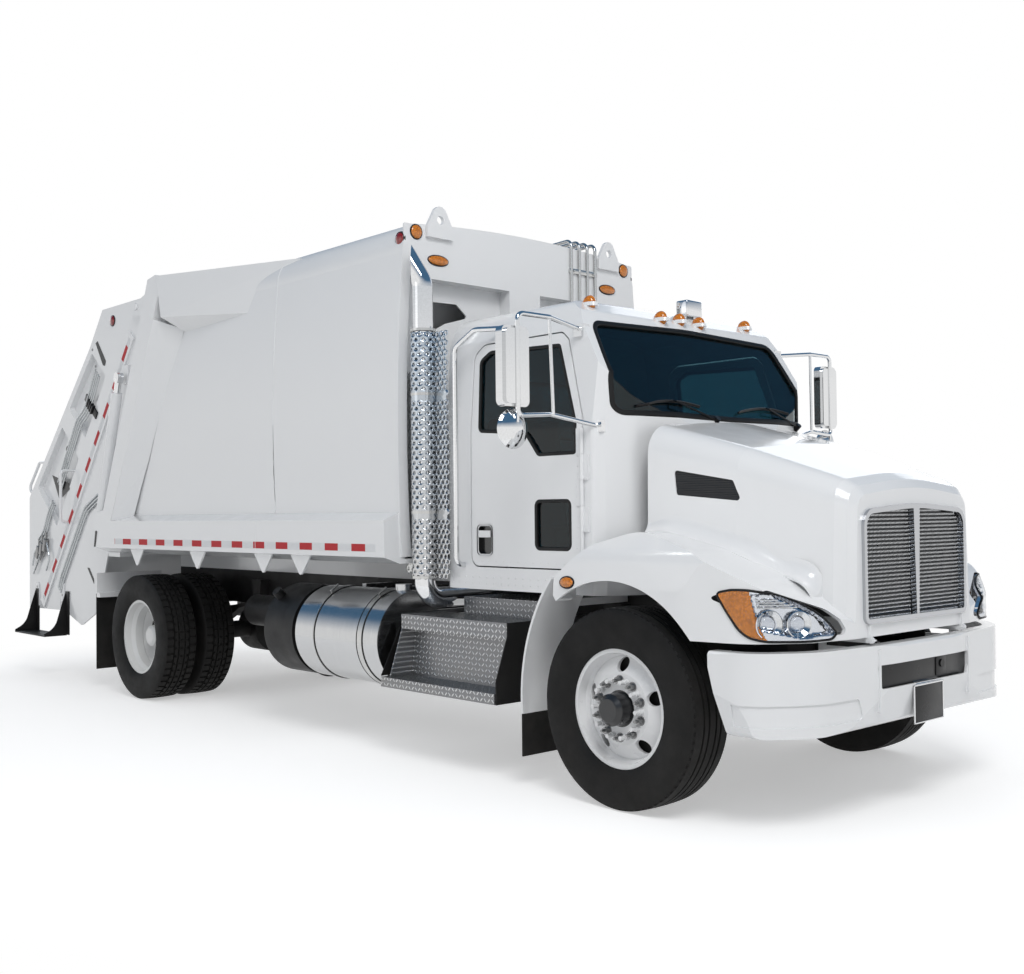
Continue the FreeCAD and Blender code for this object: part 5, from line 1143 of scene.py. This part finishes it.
def makeStrip(settings, low, high, centre, wall):
    # a narrow strip with small holes between the shield and the body
    mesh = bmesh.new()
    rows = int(((high.z - low.z) - settings["short"]) / settings["row"])
    holedPlate(mesh, settings["columns"], rows, settings["pitch"], settings["row"], settings["hole"])
    start = Vector((low.x - settings["out"], centre.y + 0.03, low.z + settings["start"]))
    bmesh.ops.translate(mesh, verts=mesh.verts, vec=start)
    solidPiece(mesh, "bodyStrip", wall, "stainless")


makeShield(shieldSettings)
print("exhaust shield made")

# grille: slanted wires over straight cross wires

grilleSettings = {"row": 0.0198, "column": 0.0122, "half": 0.486, "low": 0.951, "high": 1.50, "wire": 0.0021,
                  "lean": 0.62, "barHalf": 0.03, "behind": 0.0355, "bead": (1.4, 1.15), "beadHalf": 0.0088,
                  "narrowFrom": 1.45, "narrowBy": 0.02}


def grilleTop(y):
    return 1.496 - 0.032 * (y / 0.49) ** 2


def makeGrille(settings):
    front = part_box("grille")[1].x - settings["behind"]
    mesh, rods = bmesh.new(), bmesh.new()
    turn = Matrix.Rotation(settings["lean"], 4, "X")
    sizes = (*(settings["wire"] * part for part in settings["bead"]), settings["beadHalf"])
    columns = int(settings["half"] / settings["column"])
    for level in range(int((settings["high"] - settings["low"]) / settings["row"])):
        z = settings["low"] + 0.012 + level * settings["row"]
        for column in range(-columns, columns + 1):
            y = column * settings["column"]
            if z < grilleTop(y) - 0.006 and abs(y) >= settings["barHalf"] * 0.5:
                addBead(mesh, (front, y, z), turn, sizes)
        reach = settings["half"] - (settings["narrowBy"] if z >= settings["narrowFrom"] else 0.0)
        x, height = front - 0.003, z - settings["row"] / 2
        addRod(rods, (x, -reach, height), (x, reach, height), settings["wire"], 6)
    settle(mesh, "grilleWires", "chromeWire", "hood", 60)
    settle(rods, "grilleRods", "blackPlastic", "hood", 60)


makeGrille(grilleSettings)
print("grille made")

# wheel nuts on their washers

nutSettings = {"circle": 0.144, "count": 10, "washer": 0.024, "hex": 0.0185, "tall": 0.030,
               "stud": 0.0095, "studOut": 0.052}


def makeNuts(name, node, sign, settings):
    low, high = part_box(node)
    middle = (low + high) / 2
    tree = surfaceOf(node)
    mesh = bmesh.new()
    start = Vector((middle.x, sign * (max(abs(low.y), abs(high.y)) + 0.2), middle.z))
    out = Vector((0, sign, 0))
    for step in range(settings["count"]):
        turn = math.tau * (step + 0.5) / settings["count"]
        away = Vector((math.cos(turn), 0, math.sin(turn))) * settings["circle"]
        hit = meets(tree, start + away, (0, -sign, 0), 1.0)
        if not hit:
            continue
        base = hit[0]
        addRod(mesh, base - out * 0.002, base + out * 0.004, settings["washer"], 20)
        addRod(mesh, base, base + out * settings["tall"], settings["hex"], 6, settings["hex"] * 0.92)
        addRod(mesh, base, base + out * settings["studOut"], settings["stud"], 10, settings["stud"] * 0.8)
    settle(mesh, name, "nutSteel", node)


for side, sign in bothSides:
    makeNuts("frontNuts_" + side, "front_wheel_" + side, sign, nutSettings)
    makeNuts("rearNuts_" + side, "rear_wheels_" + side, sign, nutSettings)
print("wheel nuts made")

# cab: rivets, wipers and pocket frames; a row of rivets is its start, stop and step

rivetSettings = {"sillX": (-0.46, -1.55, -0.062), "sillZ": (1.075, 1.112), "rearX": -1.535,
                 "rearZ": (1.20, 2.42, 0.034), "doorX": -0.455, "doorZ": (1.24, 2.38, 0.055),
                 "doorSillX": (-0.50, -1.28, -0.062), "doorSillZ": 1.205, "doorSkin": 0.90,
                 "cabHead": (0.0055, 0.0028), "doorHead": (0.0045, 0.0022)}
doorSurface = {"right": surfaceOf("door_right"), "left": surfaceOf("door_left")}


def stepped(start, stop, step):
    # start and what follows it, short of stop
    values = []
    while (stop - start) * step > 0:
        values.append(start)
        start += step
    return values


def rivetRows(mesh, tree, places, sign, skin, radius, height):
    hits = [sideHit(tree, x, z, sign) for x, z in places]
    spots = [hit[0] for hit in hits if hit and hit[0].y * sign > skin]
    addRivets(mesh, spots, (0, sign, 0), radius, height)


def makeRivets(settings):
    places = [(x, z) for x in stepped(*settings["sillX"]) for z in settings["sillZ"]]
    places += [(settings["rearX"], z) for z in stepped(*settings["rearZ"])]
    mesh = bmesh.new()
    for side, sign in bothSides:
        rivetRows(mesh, cabSurface, places, sign, 0.0, *settings["cabHead"])
    settle(mesh, "cabRivets", "white", "chassis", 60)
    places = [(settings["doorX"], z) for z in stepped(*settings["doorZ"])]
    places += [(x, settings["doorSillZ"]) for x in stepped(*settings["doorSillX"])]
    for side, sign in bothSides:
        mesh = bmesh.new()
        rivetRows(mesh, doorSurface[side], places, sign, settings["doorSkin"], *settings["doorHead"])
        settle(mesh, "doorRivets_" + side, "white", "door_" + side, 60)


makeRivets(rivetSettings)

wiperSettings = {"pivots": (-0.16, 0.70), "long": 0.58, "height": 2.052, "bow": 0.035, "steps": 8,
                 "foot": 2.012, "blade": 0.0065, "bar": 0.0045, "arm": 0.0075, "armEnd": 0.005, "pin": 0.018}
screenSurface = surfaceOf("cab_glass")


def onScreen(y, z):
    hit = meets(screenSurface, at(1.0, y, z), (-1, 0, 0), 3.0)
    return hit if hit else (at(-0.2, y, z), Vector((1, 0, 0)))


def makeWipers(settings):
    mesh = bmesh.new()
    clip = Vector((0.008, 0, 0.006))  # from the blade to the bar behind it
    for pivot in settings["pivots"]:
        points = []
        for step in range(settings["steps"] + 1):
            share = step / settings["steps"]
            spot, normal = onScreen(pivot - settings["long"] * share,
                                    settings["height"] + settings["bow"] * math.sin(math.pi * share))
            points.append(spot + normal * 0.010)
        for first, second in zip(points[1:], points[2:]):
            addRod(mesh, first, second, settings["blade"], 6)
            addRod(mesh, first + clip, second + clip, settings["bar"], 6)
        root = onScreen(pivot, settings["foot"])[0] + Vector((0.03, 0.02, -0.012))
        middle = points[settings["steps"] // 2]
        elbow = middle + Vector((0.030, 0, 0.0))
        addRod(mesh, root, elbow, settings["arm"], 8, settings["armEnd"])
        addRod(mesh, elbow, middle + clip, settings["armEnd"], 8)
        ends = (root - Vector((0.02, 0, 0.02)), root + Vector((0.012, 0, 0.01)))
        addRod(mesh, *ends, settings["pin"], 14)
    settle(mesh, "wipers", "blackPlastic", "chassis")


makeWipers(wiperSettings)


def frameRing(mesh, outline, y, depth, sign, thick=0.010):
    # a thin raised frame round a flat outline of x, z places
    face = mesh.faces.new([mesh.verts.new(at(x, y, z)) for x, z in outline])
    inner = bmesh.ops.inset_region(mesh, faces=[face], thickness=thick, use_boundary=True,
                                   use_even_offset=True)
    bmesh.ops.delete(mesh, geom=[face], context="FACES_ONLY")
    pushOut(mesh, inner["faces"], (0, sign * depth, 0), True)


def roundBox(left, right, low, high, corner, steps=4):
    # an outline with rounded corners, in order round the shape
    outline = []
    centres = ((right - corner, high - corner), (left + corner, high - corner),
               (left + corner, low + corner), (right - corner, low + corner))
    for (cx, cz), start in zip(centres, (0, 90, 180, 270)):
        for step in range(steps + 1):
            turn = math.radians(start + 90 * step / steps)
            outline.append((cx + corner * math.cos(turn), cz + corner * math.sin(turn)))
    return outline


pocketSettings = {"outline": (-1.283, -1.149, 1.240, 1.419), "corner": 0.028, "depth": 0.006,
                  "on": (-1.216, 1.225)}
for side, sign in bothSides:
    mesh = bmesh.new()
    y = sideHit(doorSurface[side], *pocketSettings["on"], sign)[0].y
    outline = roundBox(*pocketSettings["outline"], pocketSettings["corner"])
    frameRing(mesh, outline, y, pocketSettings["depth"], sign)
    settle(mesh, "pocketFrame_" + side, "blackPlastic", "door_" + side)
print("cab trim made")

# front: a blank plate on its bracket, and a dark plate behind the bumper's slot

plateSettings = {"left": -0.133, "right": 0.149, "low": 0.430, "high": 0.615, "front": 1.043, "rim": 0.007}


def makeFrontPlate(settings):
    front, rim = settings["front"], settings["rim"]
    middleY, middleZ = (settings["left"] + settings["right"]) / 2, (settings["low"] + settings["high"]) / 2
    wide, tall = settings["right"] - settings["left"], settings["high"] - settings["low"]
    mesh = bmesh.new()
    addBox(mesh, at(front - 0.003, middleY, middleZ), (0.003, wide, tall), edge=0.001)
    settle(mesh, "frontPlate", "blackPlastic", "chassis")
    mesh = bmesh.new()
    for y in (settings["left"], settings["right"]):
        addBox(mesh, at(front - 0.002, y, middleZ), (rim, rim, tall + rim), edge=0.002)
    for z in (settings["low"], settings["high"]):
        addBox(mesh, at(front - 0.002, middleY, z), (rim, wide + rim, rim), edge=0.002)
    hood = at(front - 0.012, middleY, settings["high"] + 0.012)
    addBox(mesh, hood, (0.028, wide * 0.86, 0.004), Matrix.Rotation(0.5, 4, "Y"), edge=0.001)
    addBox(mesh, at(front - 0.008, middleY, middleZ), (0.004, wide * 0.8, tall * 0.9), edge=0.001)
    settle(mesh, "plateBracket", "chrome", "chassis")


slotSettings = {"x": 1.016, "z": 0.69, "wide": 0.93, "tall": 0.13, "box": 0.17}


def makeSlotPlate(settings):
    x, y, z = settings["x"], settings["box"], settings["z"]
    mesh = bmesh.new()
    addBox(mesh, at(x, 0, z), (0.006, settings["wide"], settings["tall"]), edge=0.002)
    addBox(mesh, at(x + 0.005, y, z), (0.006, 0.10, 0.10), edge=0.003)
    addRod(mesh, at(x + 0.006, y, z + 0.01), at(x + 0.016, y, z + 0.01), 0.02, 20)
    settle(mesh, "slotPlate", "blackPlastic", "chassis")


makeFrontPlate(plateSettings)
makeSlotPlate(slotSettings)

# steps: black gussets at both ends, as a station and an outline of y, z places

gussetSettings = {"thick": 0.006, "shapes": (
    (-1.929, ((1.188, 0.495), (1.00, 0.495), (1.00, 0.80), (1.03, 0.80))),
    (-0.872, ((1.188, 0.430), (0.80, 0.430), (0.80, 0.875), (1.10, 0.875), (1.10, 0.80), (1.188, 0.56))))}


def makeGussets(settings):
    mesh = bmesh.new()
    for side, sign in bothSides:
        for x, shape in settings["shapes"]:
            addPlate(mesh, [at(x, sign * y, z) for y, z in shape], Vector((settings["thick"], 0, 0)))
    settle(mesh, "stepGussets", "black", "chassis")


makeGussets(gussetSettings)
print("front plate and gussets made")

# headlamps: their outline is laid over the fender, with a sunk bright bowl under a clear cover

headlampSettings = {
    "outline": ((0.597, 1.119, 1.106), (0.652, 1.109, 1.121), (0.732, 1.079, 1.123), (0.816, 0.966, 1.102),
                (0.878, 0.860, 1.058), (0.935, 0.762, 0.991), (0.962, 0.686, 0.912), (0.955, 0.720, 0.885),
                (0.902, 0.898, 0.883), (0.802, 1.028, 0.886), (0.741, 1.074, 0.904), (0.701, 1.094, 0.939),
                (0.651, 1.109, 1.015), (0.616, 1.115, 1.069)),
    "amberEdge": ((0.748, 1.070, 1.110), (0.762, 1.061, 1.032), (0.782, 1.046, 0.950), (0.808, 1.021, 0.891)),
    "rounds": ((0.815, 1.012, 0.962, 0.066, 0.046), (0.900, 0.900, 0.962, 0.060, 0.042)),
    "roundAim": (0.90, 0.43), "roundSink": 0.016, "pitch": 0.006, "rim": 0.0062, "bowlEdge": 0.0025,
    "ribs": (1.040, 1.052, 1.064, 1.076), "ribSteps": 14, "ribStep": 0.017, "ribSink": 0.008,
    "ribRadius": 0.0038}
# each layer's lift off the skin, finish, slot and wall
lampLayers = {"lampBowl": (-0.030, "lampBowl", "chrome", 0.0),
              "lampCover": (0.007, "lampCover", "lamp_glass", 0.002),
              "lampAmber": (0.0045, "amberLens", "lamp_glass", 0.002)}
lampFacing = Vector((0.736, 0.677, 0))  # the way the lamp looks out, on the left side of the truck
lampAcross = Vector((0.677, -0.736, 0))


def insideLoop(loop, u, z):
    # counts the loop's edges passed on the way out to one side
    inside = False
    for (u1, z1), (u2, z2) in zip(loop, loop[1:] + loop[:1]):
        if (z1 > z) != (z2 > z) and u < (u2 - u1) * (z - z1) / (z2 - z1) + u1:
            inside = not inside
    return inside


lampSkins = (surfaceOf("hood"), surfaceOf("headlamps"))
lampFlat = [(Vector(point).dot(lampAcross), point[2]) for point in headlampSettings["outline"]]
lampSmooth = rounded([Vector((u, 0, z)) for u, z in lampFlat + lampFlat[:2]], 0.05, 4)
lampLoop = [(point.x, point.z) for point in lampSmooth[4:-1]]
amberEdge = sorted((point[2], Vector(point).dot(lampAcross)) for point in headlampSettings["amberEdge"])


def amberLimit(z):
    for (z1, u1), (z2, u2) in zip(amberEdge, amberEdge[1:]):
        if z <= z2:
            return u1 + (u2 - u1) * (z - z1) / (z2 - z1)
    return amberEdge[-1][1]


def onSkin(u, z, sign):
    # the nearest of hood and lamp seen along the lamp's own direction, and which of the two it is
    facing = Vector((lampFacing.x, lampFacing.y * sign, 0))
    start = at(0, 0, z) + Vector((lampAcross.x, lampAcross.y * sign, 0)) * u + facing * 3
    hits = [(meets(skin, start, -facing, 3.2), index) for index, skin in enumerate(lampSkins)]
    hits = [((hit[0] - start).length, hit[0], index) for hit, index in hits if hit]
    return min(hits, key=lambda hit: hit[0])[1:] if hits else (None, 0)


def lampGrid(layer, pitch):
    # a flat grid over the lamp's outline, in u and z, with what this layer leaves out cut away
    lows = [min(values) for values in zip(*lampLoop)]
    spans = [max(values) - low for values, low in zip(zip(*lampLoop), lows)]
    mesh = bmesh.new()
    bmesh.ops.create_grid(mesh, x_segments=int(spans[0] / pitch), y_segments=int(spans[1] / pitch), size=1)
    for vert in mesh.verts:
        vert.co.x = lows[0] + spans[0] * (vert.co.x + 1) / 2
        vert.co.y = lows[1] + spans[1] * (vert.co.y + 1) / 2
    gone = []
    for face in mesh.faces:
        spot = face.calc_center_median()
        amberPart = spot.x < amberLimit(spot.y)
        otherPart = layer != "lampCover" and (layer == "lampAmber") != amberPart
        if otherPart or not insideLoop(lampLoop, spot.x, spot.y):
            gone.append(face)
    bmesh.ops.delete(mesh, geom=gone, context="FACES")
    bmesh.ops.delete(mesh, geom=[vert for vert in mesh.verts if not vert.link_faces], context="VERTS")
    return mesh


def lampLayer(layer, side, sign, facing, settings):
    # lays a grid on the lamp's face; the bowl is sunk but for its edge
    lift, finish, slotName, wall = lampLayers[layer]
    mesh = lampGrid(layer, settings["pitch"])
    places, onLamp = {}, {}
    for vert in mesh.verts:
        places[vert], onLamp[vert] = onSkin(vert.co.x, vert.co.y, sign)
    for vert, place in places.items():
        shift = lift
        if layer == "lampBowl":
            near = {other for face in vert.link_faces for other in face.verts}
            near = {other for close in near for face in close.link_faces for other in face.verts}
            atEdge = any(edge.is_boundary for edge in vert.link_edges)
            shift = settings["bowlEdge"] if atEdge or not all(onLamp[other] for other in near) else lift
        vert.co = (place if place else at(0, 0, vert.co.y)) + facing * shift
    inner = [vert for vert in mesh.verts if not vert.is_boundary]
    bmesh.ops.smooth_vert(mesh, verts=inner, factor=0.5, use_axis_x=True, use_axis_y=True, use_axis_z=True)
    piece = putOnBody(mesh, layer + "_" + side, finish, "hood")
    if wall:
        addWall(piece, wall)
    return piece


def lampRounds(rings, lenses, sign, facing, settings):
    # two round reflectors, each a turned ring with a bulging lens
    aim = Vector((settings["roundAim"][0], settings["roundAim"][1] * sign, 0.0)).normalized()
    for x, y, z, radius, small in settings["rounds"]:
        spot = meets(lampSkins[1], at(x, y * sign, z) + facing * 0.5, -facing)[0]
        centre = spot - facing * settings["roundSink"]
        turn = Matrix.Translation(centre) @ turnTo(aim)
        profile = ((-0.010, small * 0.8), (-0.004, small), (0.010, radius), (0.008, radius + 0.004),
                   (-0.008, small + 0.006), (-0.014, small * 0.8))
        verts = [rings.verts.new(turn @ Vector((r, 0, a))) for a, r in profile]
        edges = [rings.edges.new(pair) for pair in zip(verts, verts[1:] + verts[:1])]
        bmesh.ops.spin(rings, geom=verts + edges, cent=centre, axis=aim, dvec=(0, 0, 0),
                       angle=math.tau, steps=36, use_merge=True)
        sizes = (small * 0.86, small * 0.86, small * 0.36)
        addBall(lenses, turn @ Matrix.Translation((0, 0, -0.008)), sizes, 28, 16)


def lampRibs(ribs, sign, facing, settings):
    for z in settings["ribs"]:
        path = []
        for step in range(settings["ribSteps"]):
            u = amberLimit(z) + 0.02 + settings["ribStep"] * step
            if insideLoop(lampLoop, u + 0.02, z + 0.012):
                path.append(onSkin(u, z, sign)[0] - facing * settings["ribSink"])
        for first, second in zip(path, path[1:]):
            addRod(ribs, first, second, settings["ribRadius"], 6)


def makeHeadlamps(settings):
    rings, lenses, ribs = bmesh.new(), bmesh.new(), bmesh.new()
    pieces = []
    for side, sign in bothSides:
        facing = Vector((lampFacing.x, lampFacing.y * sign, 0))
        pieces += [lampLayer(layer, side, sign, facing, settings) for layer in lampLayers]
        places = [onSkin(u, z, sign)[0] for u, z in lampLoop]
        path = [place + facing * 0.003 for place in places if place]
        pipes("lampRim_" + side, [path + path[:1]], settings["rim"], 0.0, "rubber", "hood")
        lampRounds(rings, lenses, sign, facing, settings)
        lampRibs(ribs, sign, facing, settings)
    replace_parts(pieces[0], "headlamps")
    settle(rings, "lampRings", "chrome", "hood")
    settle(lenses, "lampRounds", "lampRound", "hood")
    settle(ribs, "lampRibs", "chromeWire", "hood")


makeHeadlamps(headlampSettings)
print("headlamps made")

# dark discs behind the front wheels' hand holes

discSettings = {"out": 1.049, "inner": 0.10, "outer": 0.246, "thick": 0.003}


def makeDiscs(settings):
    inner, outer, thick = settings["inner"], settings["outer"], settings["thick"]
    profile = ((0.0, inner), (0.0, outer), (-thick, outer), (-thick, inner), (0.0, inner))
    for side, sign in bothSides:
        low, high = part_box("front_wheel_" + side)
        middle = Vector(((low.x + high.x) / 2, sign * settings["out"], (low.z + high.z) / 2))
        mesh = bmesh.new()
        spinRing(mesh, profile, middle, (0, 1, 0), 60)
        settle(mesh, "brakeDisc_" + side, "cast", "front_wheel_" + side)


makeDiscs(discSettings)

# packer body: welded seams that follow the curved sides

seamSettings = {"place": -3.28, "half": 0.0035, "low": 1.47, "top": 3.27, "steps": 60, "longest": 0.12,
                "flatOut": 1.2186, "flatX": -3.35, "flatZ": (1.23, 1.44),
                "railX": (-1.9, -2.9, -3.9, -4.9, -5.7), "railZ": 1.2245, "railLong": 0.35, "railHalf": 0.003}
sideSurface = surfaceOf("body_sides")


def makeSeams(settings):
    mesh = bmesh.new()
    rise, steps = settings["top"] - settings["low"], settings["steps"]
    heights = [settings["low"] + rise * step / steps for step in range(steps + 1)]
    for side, sign in bothSides:
        hits = [sideHit(sideSurface, settings["place"], z, sign, 1.4) for z in heights]
        spots = [hit[0] for hit in hits if hit]
        for first, second in zip(spots, spots[1:]):
            if (second - first).length < settings["longest"]:
                addRod(mesh, first, second, settings["half"], 6)
        y = sign * settings["flatOut"]
        addRod(mesh, *(at(settings["flatX"], y, z) for z in settings["flatZ"]), settings["half"], 6)
        for x in settings["railX"]:
            ends = (at(x, y, settings["railZ"]), at(x - settings["railLong"], y, settings["railZ"]))
            addRod(mesh, *ends, settings["railHalf"], 6)
    settle(mesh, "bodySeams", "white", "chassis", 60)


makeSeams(seamSettings)
print("seams made")

# tailgate: steel tubes, their clamps, black plates as painted shade for slots, the valve and holed plates, on
# both sides; a tube group is a count of lanes and a line of x, z places

tubeSettings = {
    "tube": 0.0085, "bend": 0.07, "gap": 0.036, "lift": 0.012,
    "groups": ((4, ((-6.22, 2.76), (-6.34, 2.58), (-6.45, 2.43), (-6.63, 2.34), (-6.79, 2.13),
                    (-7.06, 1.78))),
               (3, ((-7.20, 1.62), (-7.32, 1.50), (-7.42, 1.33), (-7.55, 1.25))),
               (3, ((-6.20, 1.66), (-6.479, 1.548), (-7.020, 0.900), (-7.068, 0.805)))),
    "loose": (((-7.45, 1.22), (-7.64, 1.17), (-7.70, 1.02)), ((-7.50, 1.14), (-7.60, 1.02), (-7.68, 0.94)),
              ((-7.36, 1.26), (-7.28, 1.10), (-7.36, 0.98)))}
gateSlotSettings = {
    "bracket": (-6.37, 2.475), "bracketSize": (0.30, 0.07, 0.016),
    "clamps": 4, "clampSize": (0.022, 0.085, 0.030), "hole": (1.704, 0.581, 0.030),
    "slots": (((-6.28, 3.03), (-6.24, 3.045), (-6.07, 2.85), (-6.09, 2.81), (-6.13, 2.82)),
              ((-7.26, 1.885), (-6.88, 1.80), (-6.86, 1.74), (-7.05, 1.66), (-7.10, 1.66)),
              ((-6.47, 1.03), (-6.43, 1.03), (-6.33, 0.93), (-6.33, 0.89)),
              ((-6.30, 1.36), (-6.26, 1.37), (-6.30, 1.22), (-6.33, 1.22)))}
# the valve's sections from the first one on, and each stub's start, end and radius
valveSettings = {"first": (-7.38, 1.22), "step": (-0.085, -0.035), "size": (0.05, 0.042, 0.12),
                 "stubs": (((0, 0.05), (0.01, 0.13), 0.008), ((0, -0.05), (-0.05, -0.11), 0.007),
                           ((-0.02, 0.0), (-0.09, -0.02), 0.007))}
holedSettings = {"plates": ((-7.620, 0.746), (-7.018, 0.761)), "size": (0.085, 0.008, 0.22),
                 "holes": (-0.07, 0.0, 0.07), "hole": 0.0125, "bolts": 5, "firstBolt": (-6.35, 2.98),
                 "boltStep": (-0.05, -0.14), "bolt": 0.011}


def onGate(x, z, sign, lift=0.0):
    # a place on the side plate's own plane
    return at(x, sign * (gatePlain + lift), z)


def makeTubes(side, sign, settings):
    runs = []
    for count, points in settings["groups"]:
        for lane in range(count):
            shift = trackBack * ((lane - (count - 1) / 2) * settings["gap"])
            runs.append([onGate(x, z, sign, settings["lift"]) + shift for x, z in points])
    for points in settings["loose"]:
        runs.append([onGate(x, z, sign, settings["lift"] + 0.01) for x, z in points])
    pipes("gateTubes_" + side, runs, settings["tube"], settings["bend"], "tubeSteel", "tailgate")


def makeGateBracketSlotShades(side, sign, settings):
    # the tubes' bracket with its clamps, and thin black plates on the side plate as painted shade for its
    # openings
    mesh = bmesh.new()
    turn = Matrix((trackBack, -trackDown, Vector((0, sign, 0)))).transposed().to_4x4()
    addBox(mesh, onGate(*settings["bracket"], sign, 0.003), settings["bracketSize"], turn, edge=0.004)
    for lane in range(settings["clamps"]):
        shift = trackBack * ((lane - (settings["clamps"] - 1) / 2) * tubeSettings["gap"])
        addBox(mesh, onGate(*settings["bracket"], sign, 0.012) + shift, settings["clampSize"], turn,
               edge=0.004)
    # painted shade: each slot outline is a thin black plate laid on the side plate, dark as an opening's
    # inside
    for shape in settings["slots"]:
        hits = [sideHit(gateSurface, x, z, sign, 1.4) for x, z in shape]
        y = max([abs(hit[0].y) for hit in hits if hit] or [gatePlain])
        addPlate(mesh, [at(x, sign * (y + 0.0005), z) for x, z in shape], Vector((0, sign * 0.002, 0)))
    # painted shade: a thin black disc stands in for the round hole's dark inside
    s, n, radius = settings["hole"]
    y = gateFace(s, n, sign)
    addRod(mesh, onTrack(s, n, y - sign * 0.001), onTrack(s, n, y + sign * 0.003), radius, 28)
    settle(mesh, "gateBracketSlotShades_" + side, "blackPlastic", "tailgate")


def makeValve(side, sign, settings):
    mesh = bmesh.new()
    for lane in range(3):
        x, z = (first + step * lane for first, step in zip(settings["first"], settings["step"]))
        base = onGate(x, z, sign)
        place = base + Vector((0, sign * 0.022, 0))
        addBox(mesh, place, settings["size"], Matrix.Rotation(0.3, 4, "Y"), edge=0.004)
        for (x1, z1), (x2, z2), radius in settings["stubs"]:
            start, end = base + Vector((x1, sign * 0.02, z1)), base + Vector((x2, sign * 0.02, z2))
            addRod(mesh, start, end, radius, 10)
    settle(mesh, "gateValve_" + side, "nutSteel", "tailgate")


def makeHoledPlates(side, sign, settings):
    plates, holes = bmesh.new(), bmesh.new()
    for x, z in settings["plates"]:
        y = gateFace(*fromTrack(x, z), sign)
        y = y if abs(y) > 1.0 else sign * gatePlain
        addBox(plates, at(x, y + sign * 0.005, z), settings["size"], edge=0.002)
        for level in settings["holes"]:
            ends = (at(x, y + sign * out, z + level) for out in (0.008, 0.0105))
            addRod(holes, *ends, settings["hole"], 16)
    for level in range(settings["bolts"]):
        x, z = (first + step * level for first, step in zip(settings["firstBolt"], settings["boltStep"]))
        s, n = fromTrack(x, z)
        y = gateFace(s, n, sign)
        addRod(holes, onTrack(s, n, y), onTrack(s, n, y + sign * 0.004), settings["bolt"], 12)
    settle(plates, "holedPlates_" + side, "white", "tailgate")
    settle(holes, "plateBolts_" + side, "nutSteel", "tailgate")


for side, sign in bothSides:
    makeTubes(side, sign, tubeSettings)
    makeGateBracketSlotShades(side, sign, gateSlotSettings)
    makeValve(side, sign, valveSettings)
    makeHoledPlates(side, sign, holedSettings)
print("tailgate fittings made")

# side and rear lamps, the tubes' clamps and the fuel tank's straps

sideLampSettings = {"place": (-0.348, 1.122), "half": (0.048, 0.027), "nodes": ("hood", "quarter_fenders")}


def makeSideLamps(settings):
    lens, rims = bmesh.new(), bmesh.new()
    for side, sign in bothSides:
        hits = [sideHit(surfaceOf(node), *settings["place"], sign) for node in settings["nodes"]]
        spot, normal = next(hit for hit in hits if hit)
        addMarker(lens, rims, spot, normal, *settings["half"])
    settleMarkers(lens, rims, ("sideLamps", "sideLampRims"), "amberLens", "hood")


makeSideLamps(sideLampSettings)

rearLampSettings = {"amber": (0.56,), "red": (0.72, 0.88), "height": 0.70, "radius": 0.052, "behind": -9.5}


def makeRearLamps(settings):
    hopperSurface = surfaceOf("tailgate_hopper")
    lenses = {"red": bmesh.new(), "amber": bmesh.new()}
    rims = bmesh.new()
    for side, sign in bothSides:
        for kind in ("amber", "red"):
            for y in settings[kind]:
                hit = meets(hopperSurface, at(settings["behind"], sign * y, settings["height"]), (1, 0, 0))
                if hit:
                    addMarker(lenses[kind], rims, *hit, settings["radius"], settings["radius"])
    settle(lenses["red"], "rearRedLamps", "redLens", "tailgate")
    settle(lenses["amber"], "rearAmberLamps", "amberLens", "tailgate")
    settle(rims, "rearLampRims", "rubber", "tailgate")


makeRearLamps(rearLampSettings)

clampSettings = {"heights": (1.75, 2.25, 2.75, 3.18), "lowY": 0.392, "highY": 0.668,
                 "deep": 0.045, "tall": 0.035, "bolts": (0.43, 0.49, 0.57, 0.63), "bolt": 0.009}


def makeClamps(settings):
    mesh = bmesh.new()
    low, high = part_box("hydraulic_tubes")
    tree = surfaceOf("hydraulic_tubes")
    middle, wide = (settings["lowY"] + settings["highY"]) / 2, settings["highY"] - settings["lowY"]
    for z in settings["heights"]:
        hit = meets(tree, (axleX - 1.0, (low.y + high.y) / 2 - 0.09, z), (-1, 0, 0), 1.2)
        x = (hit[0].x - 0.014) if hit else high.x - 0.03
        addBox(mesh, Vector((x, middle, z)), (settings["deep"], wide, settings["tall"]), edge=0.004)
        for y in settings["bolts"]:
            addRod(mesh, Vector((x + 0.02, y, z)), Vector((x + 0.030, y, z)), settings["bolt"], 6)
    settle(mesh, "tubeClamps", "stainless", "chassis")


makeClamps(clampSettings)

strapSettings = {"places": (-2.16, -2.70), "half": 0.024, "thick": 0.004, "radius": 0.3115,
                 "tank": (-0.870, 0.690), "padPast": 0.006, "bolt": 0.008}


def makeStraps(settings):
    mesh, pads = bmesh.new(), bmesh.new()
    half, radius = settings["half"], settings["radius"]
    strap = bandProfile(half, radius, radius + settings["thick"])
    pad = bandProfile(half + settings["padPast"], radius - 0.001, radius + 0.0015)
    for place in settings["places"]:
        middle = at(place, *settings["tank"])
        spinRing(mesh, strap, middle, (1, 0, 0), 72)
        spinRing(pads, pad, middle, (1, 0, 0), 72)
        ends = (middle + Vector((0, -0.16, 0.285)), middle + Vector((0, -0.10, 0.325)))
        addRod(mesh, *ends, settings["bolt"], 10)
    settle(mesh, "tankStraps", "stainless", "chassis")
    settle(pads, "strapPads", "rubber", "chassis")


makeStraps(strapSettings)
print("small fittings made")
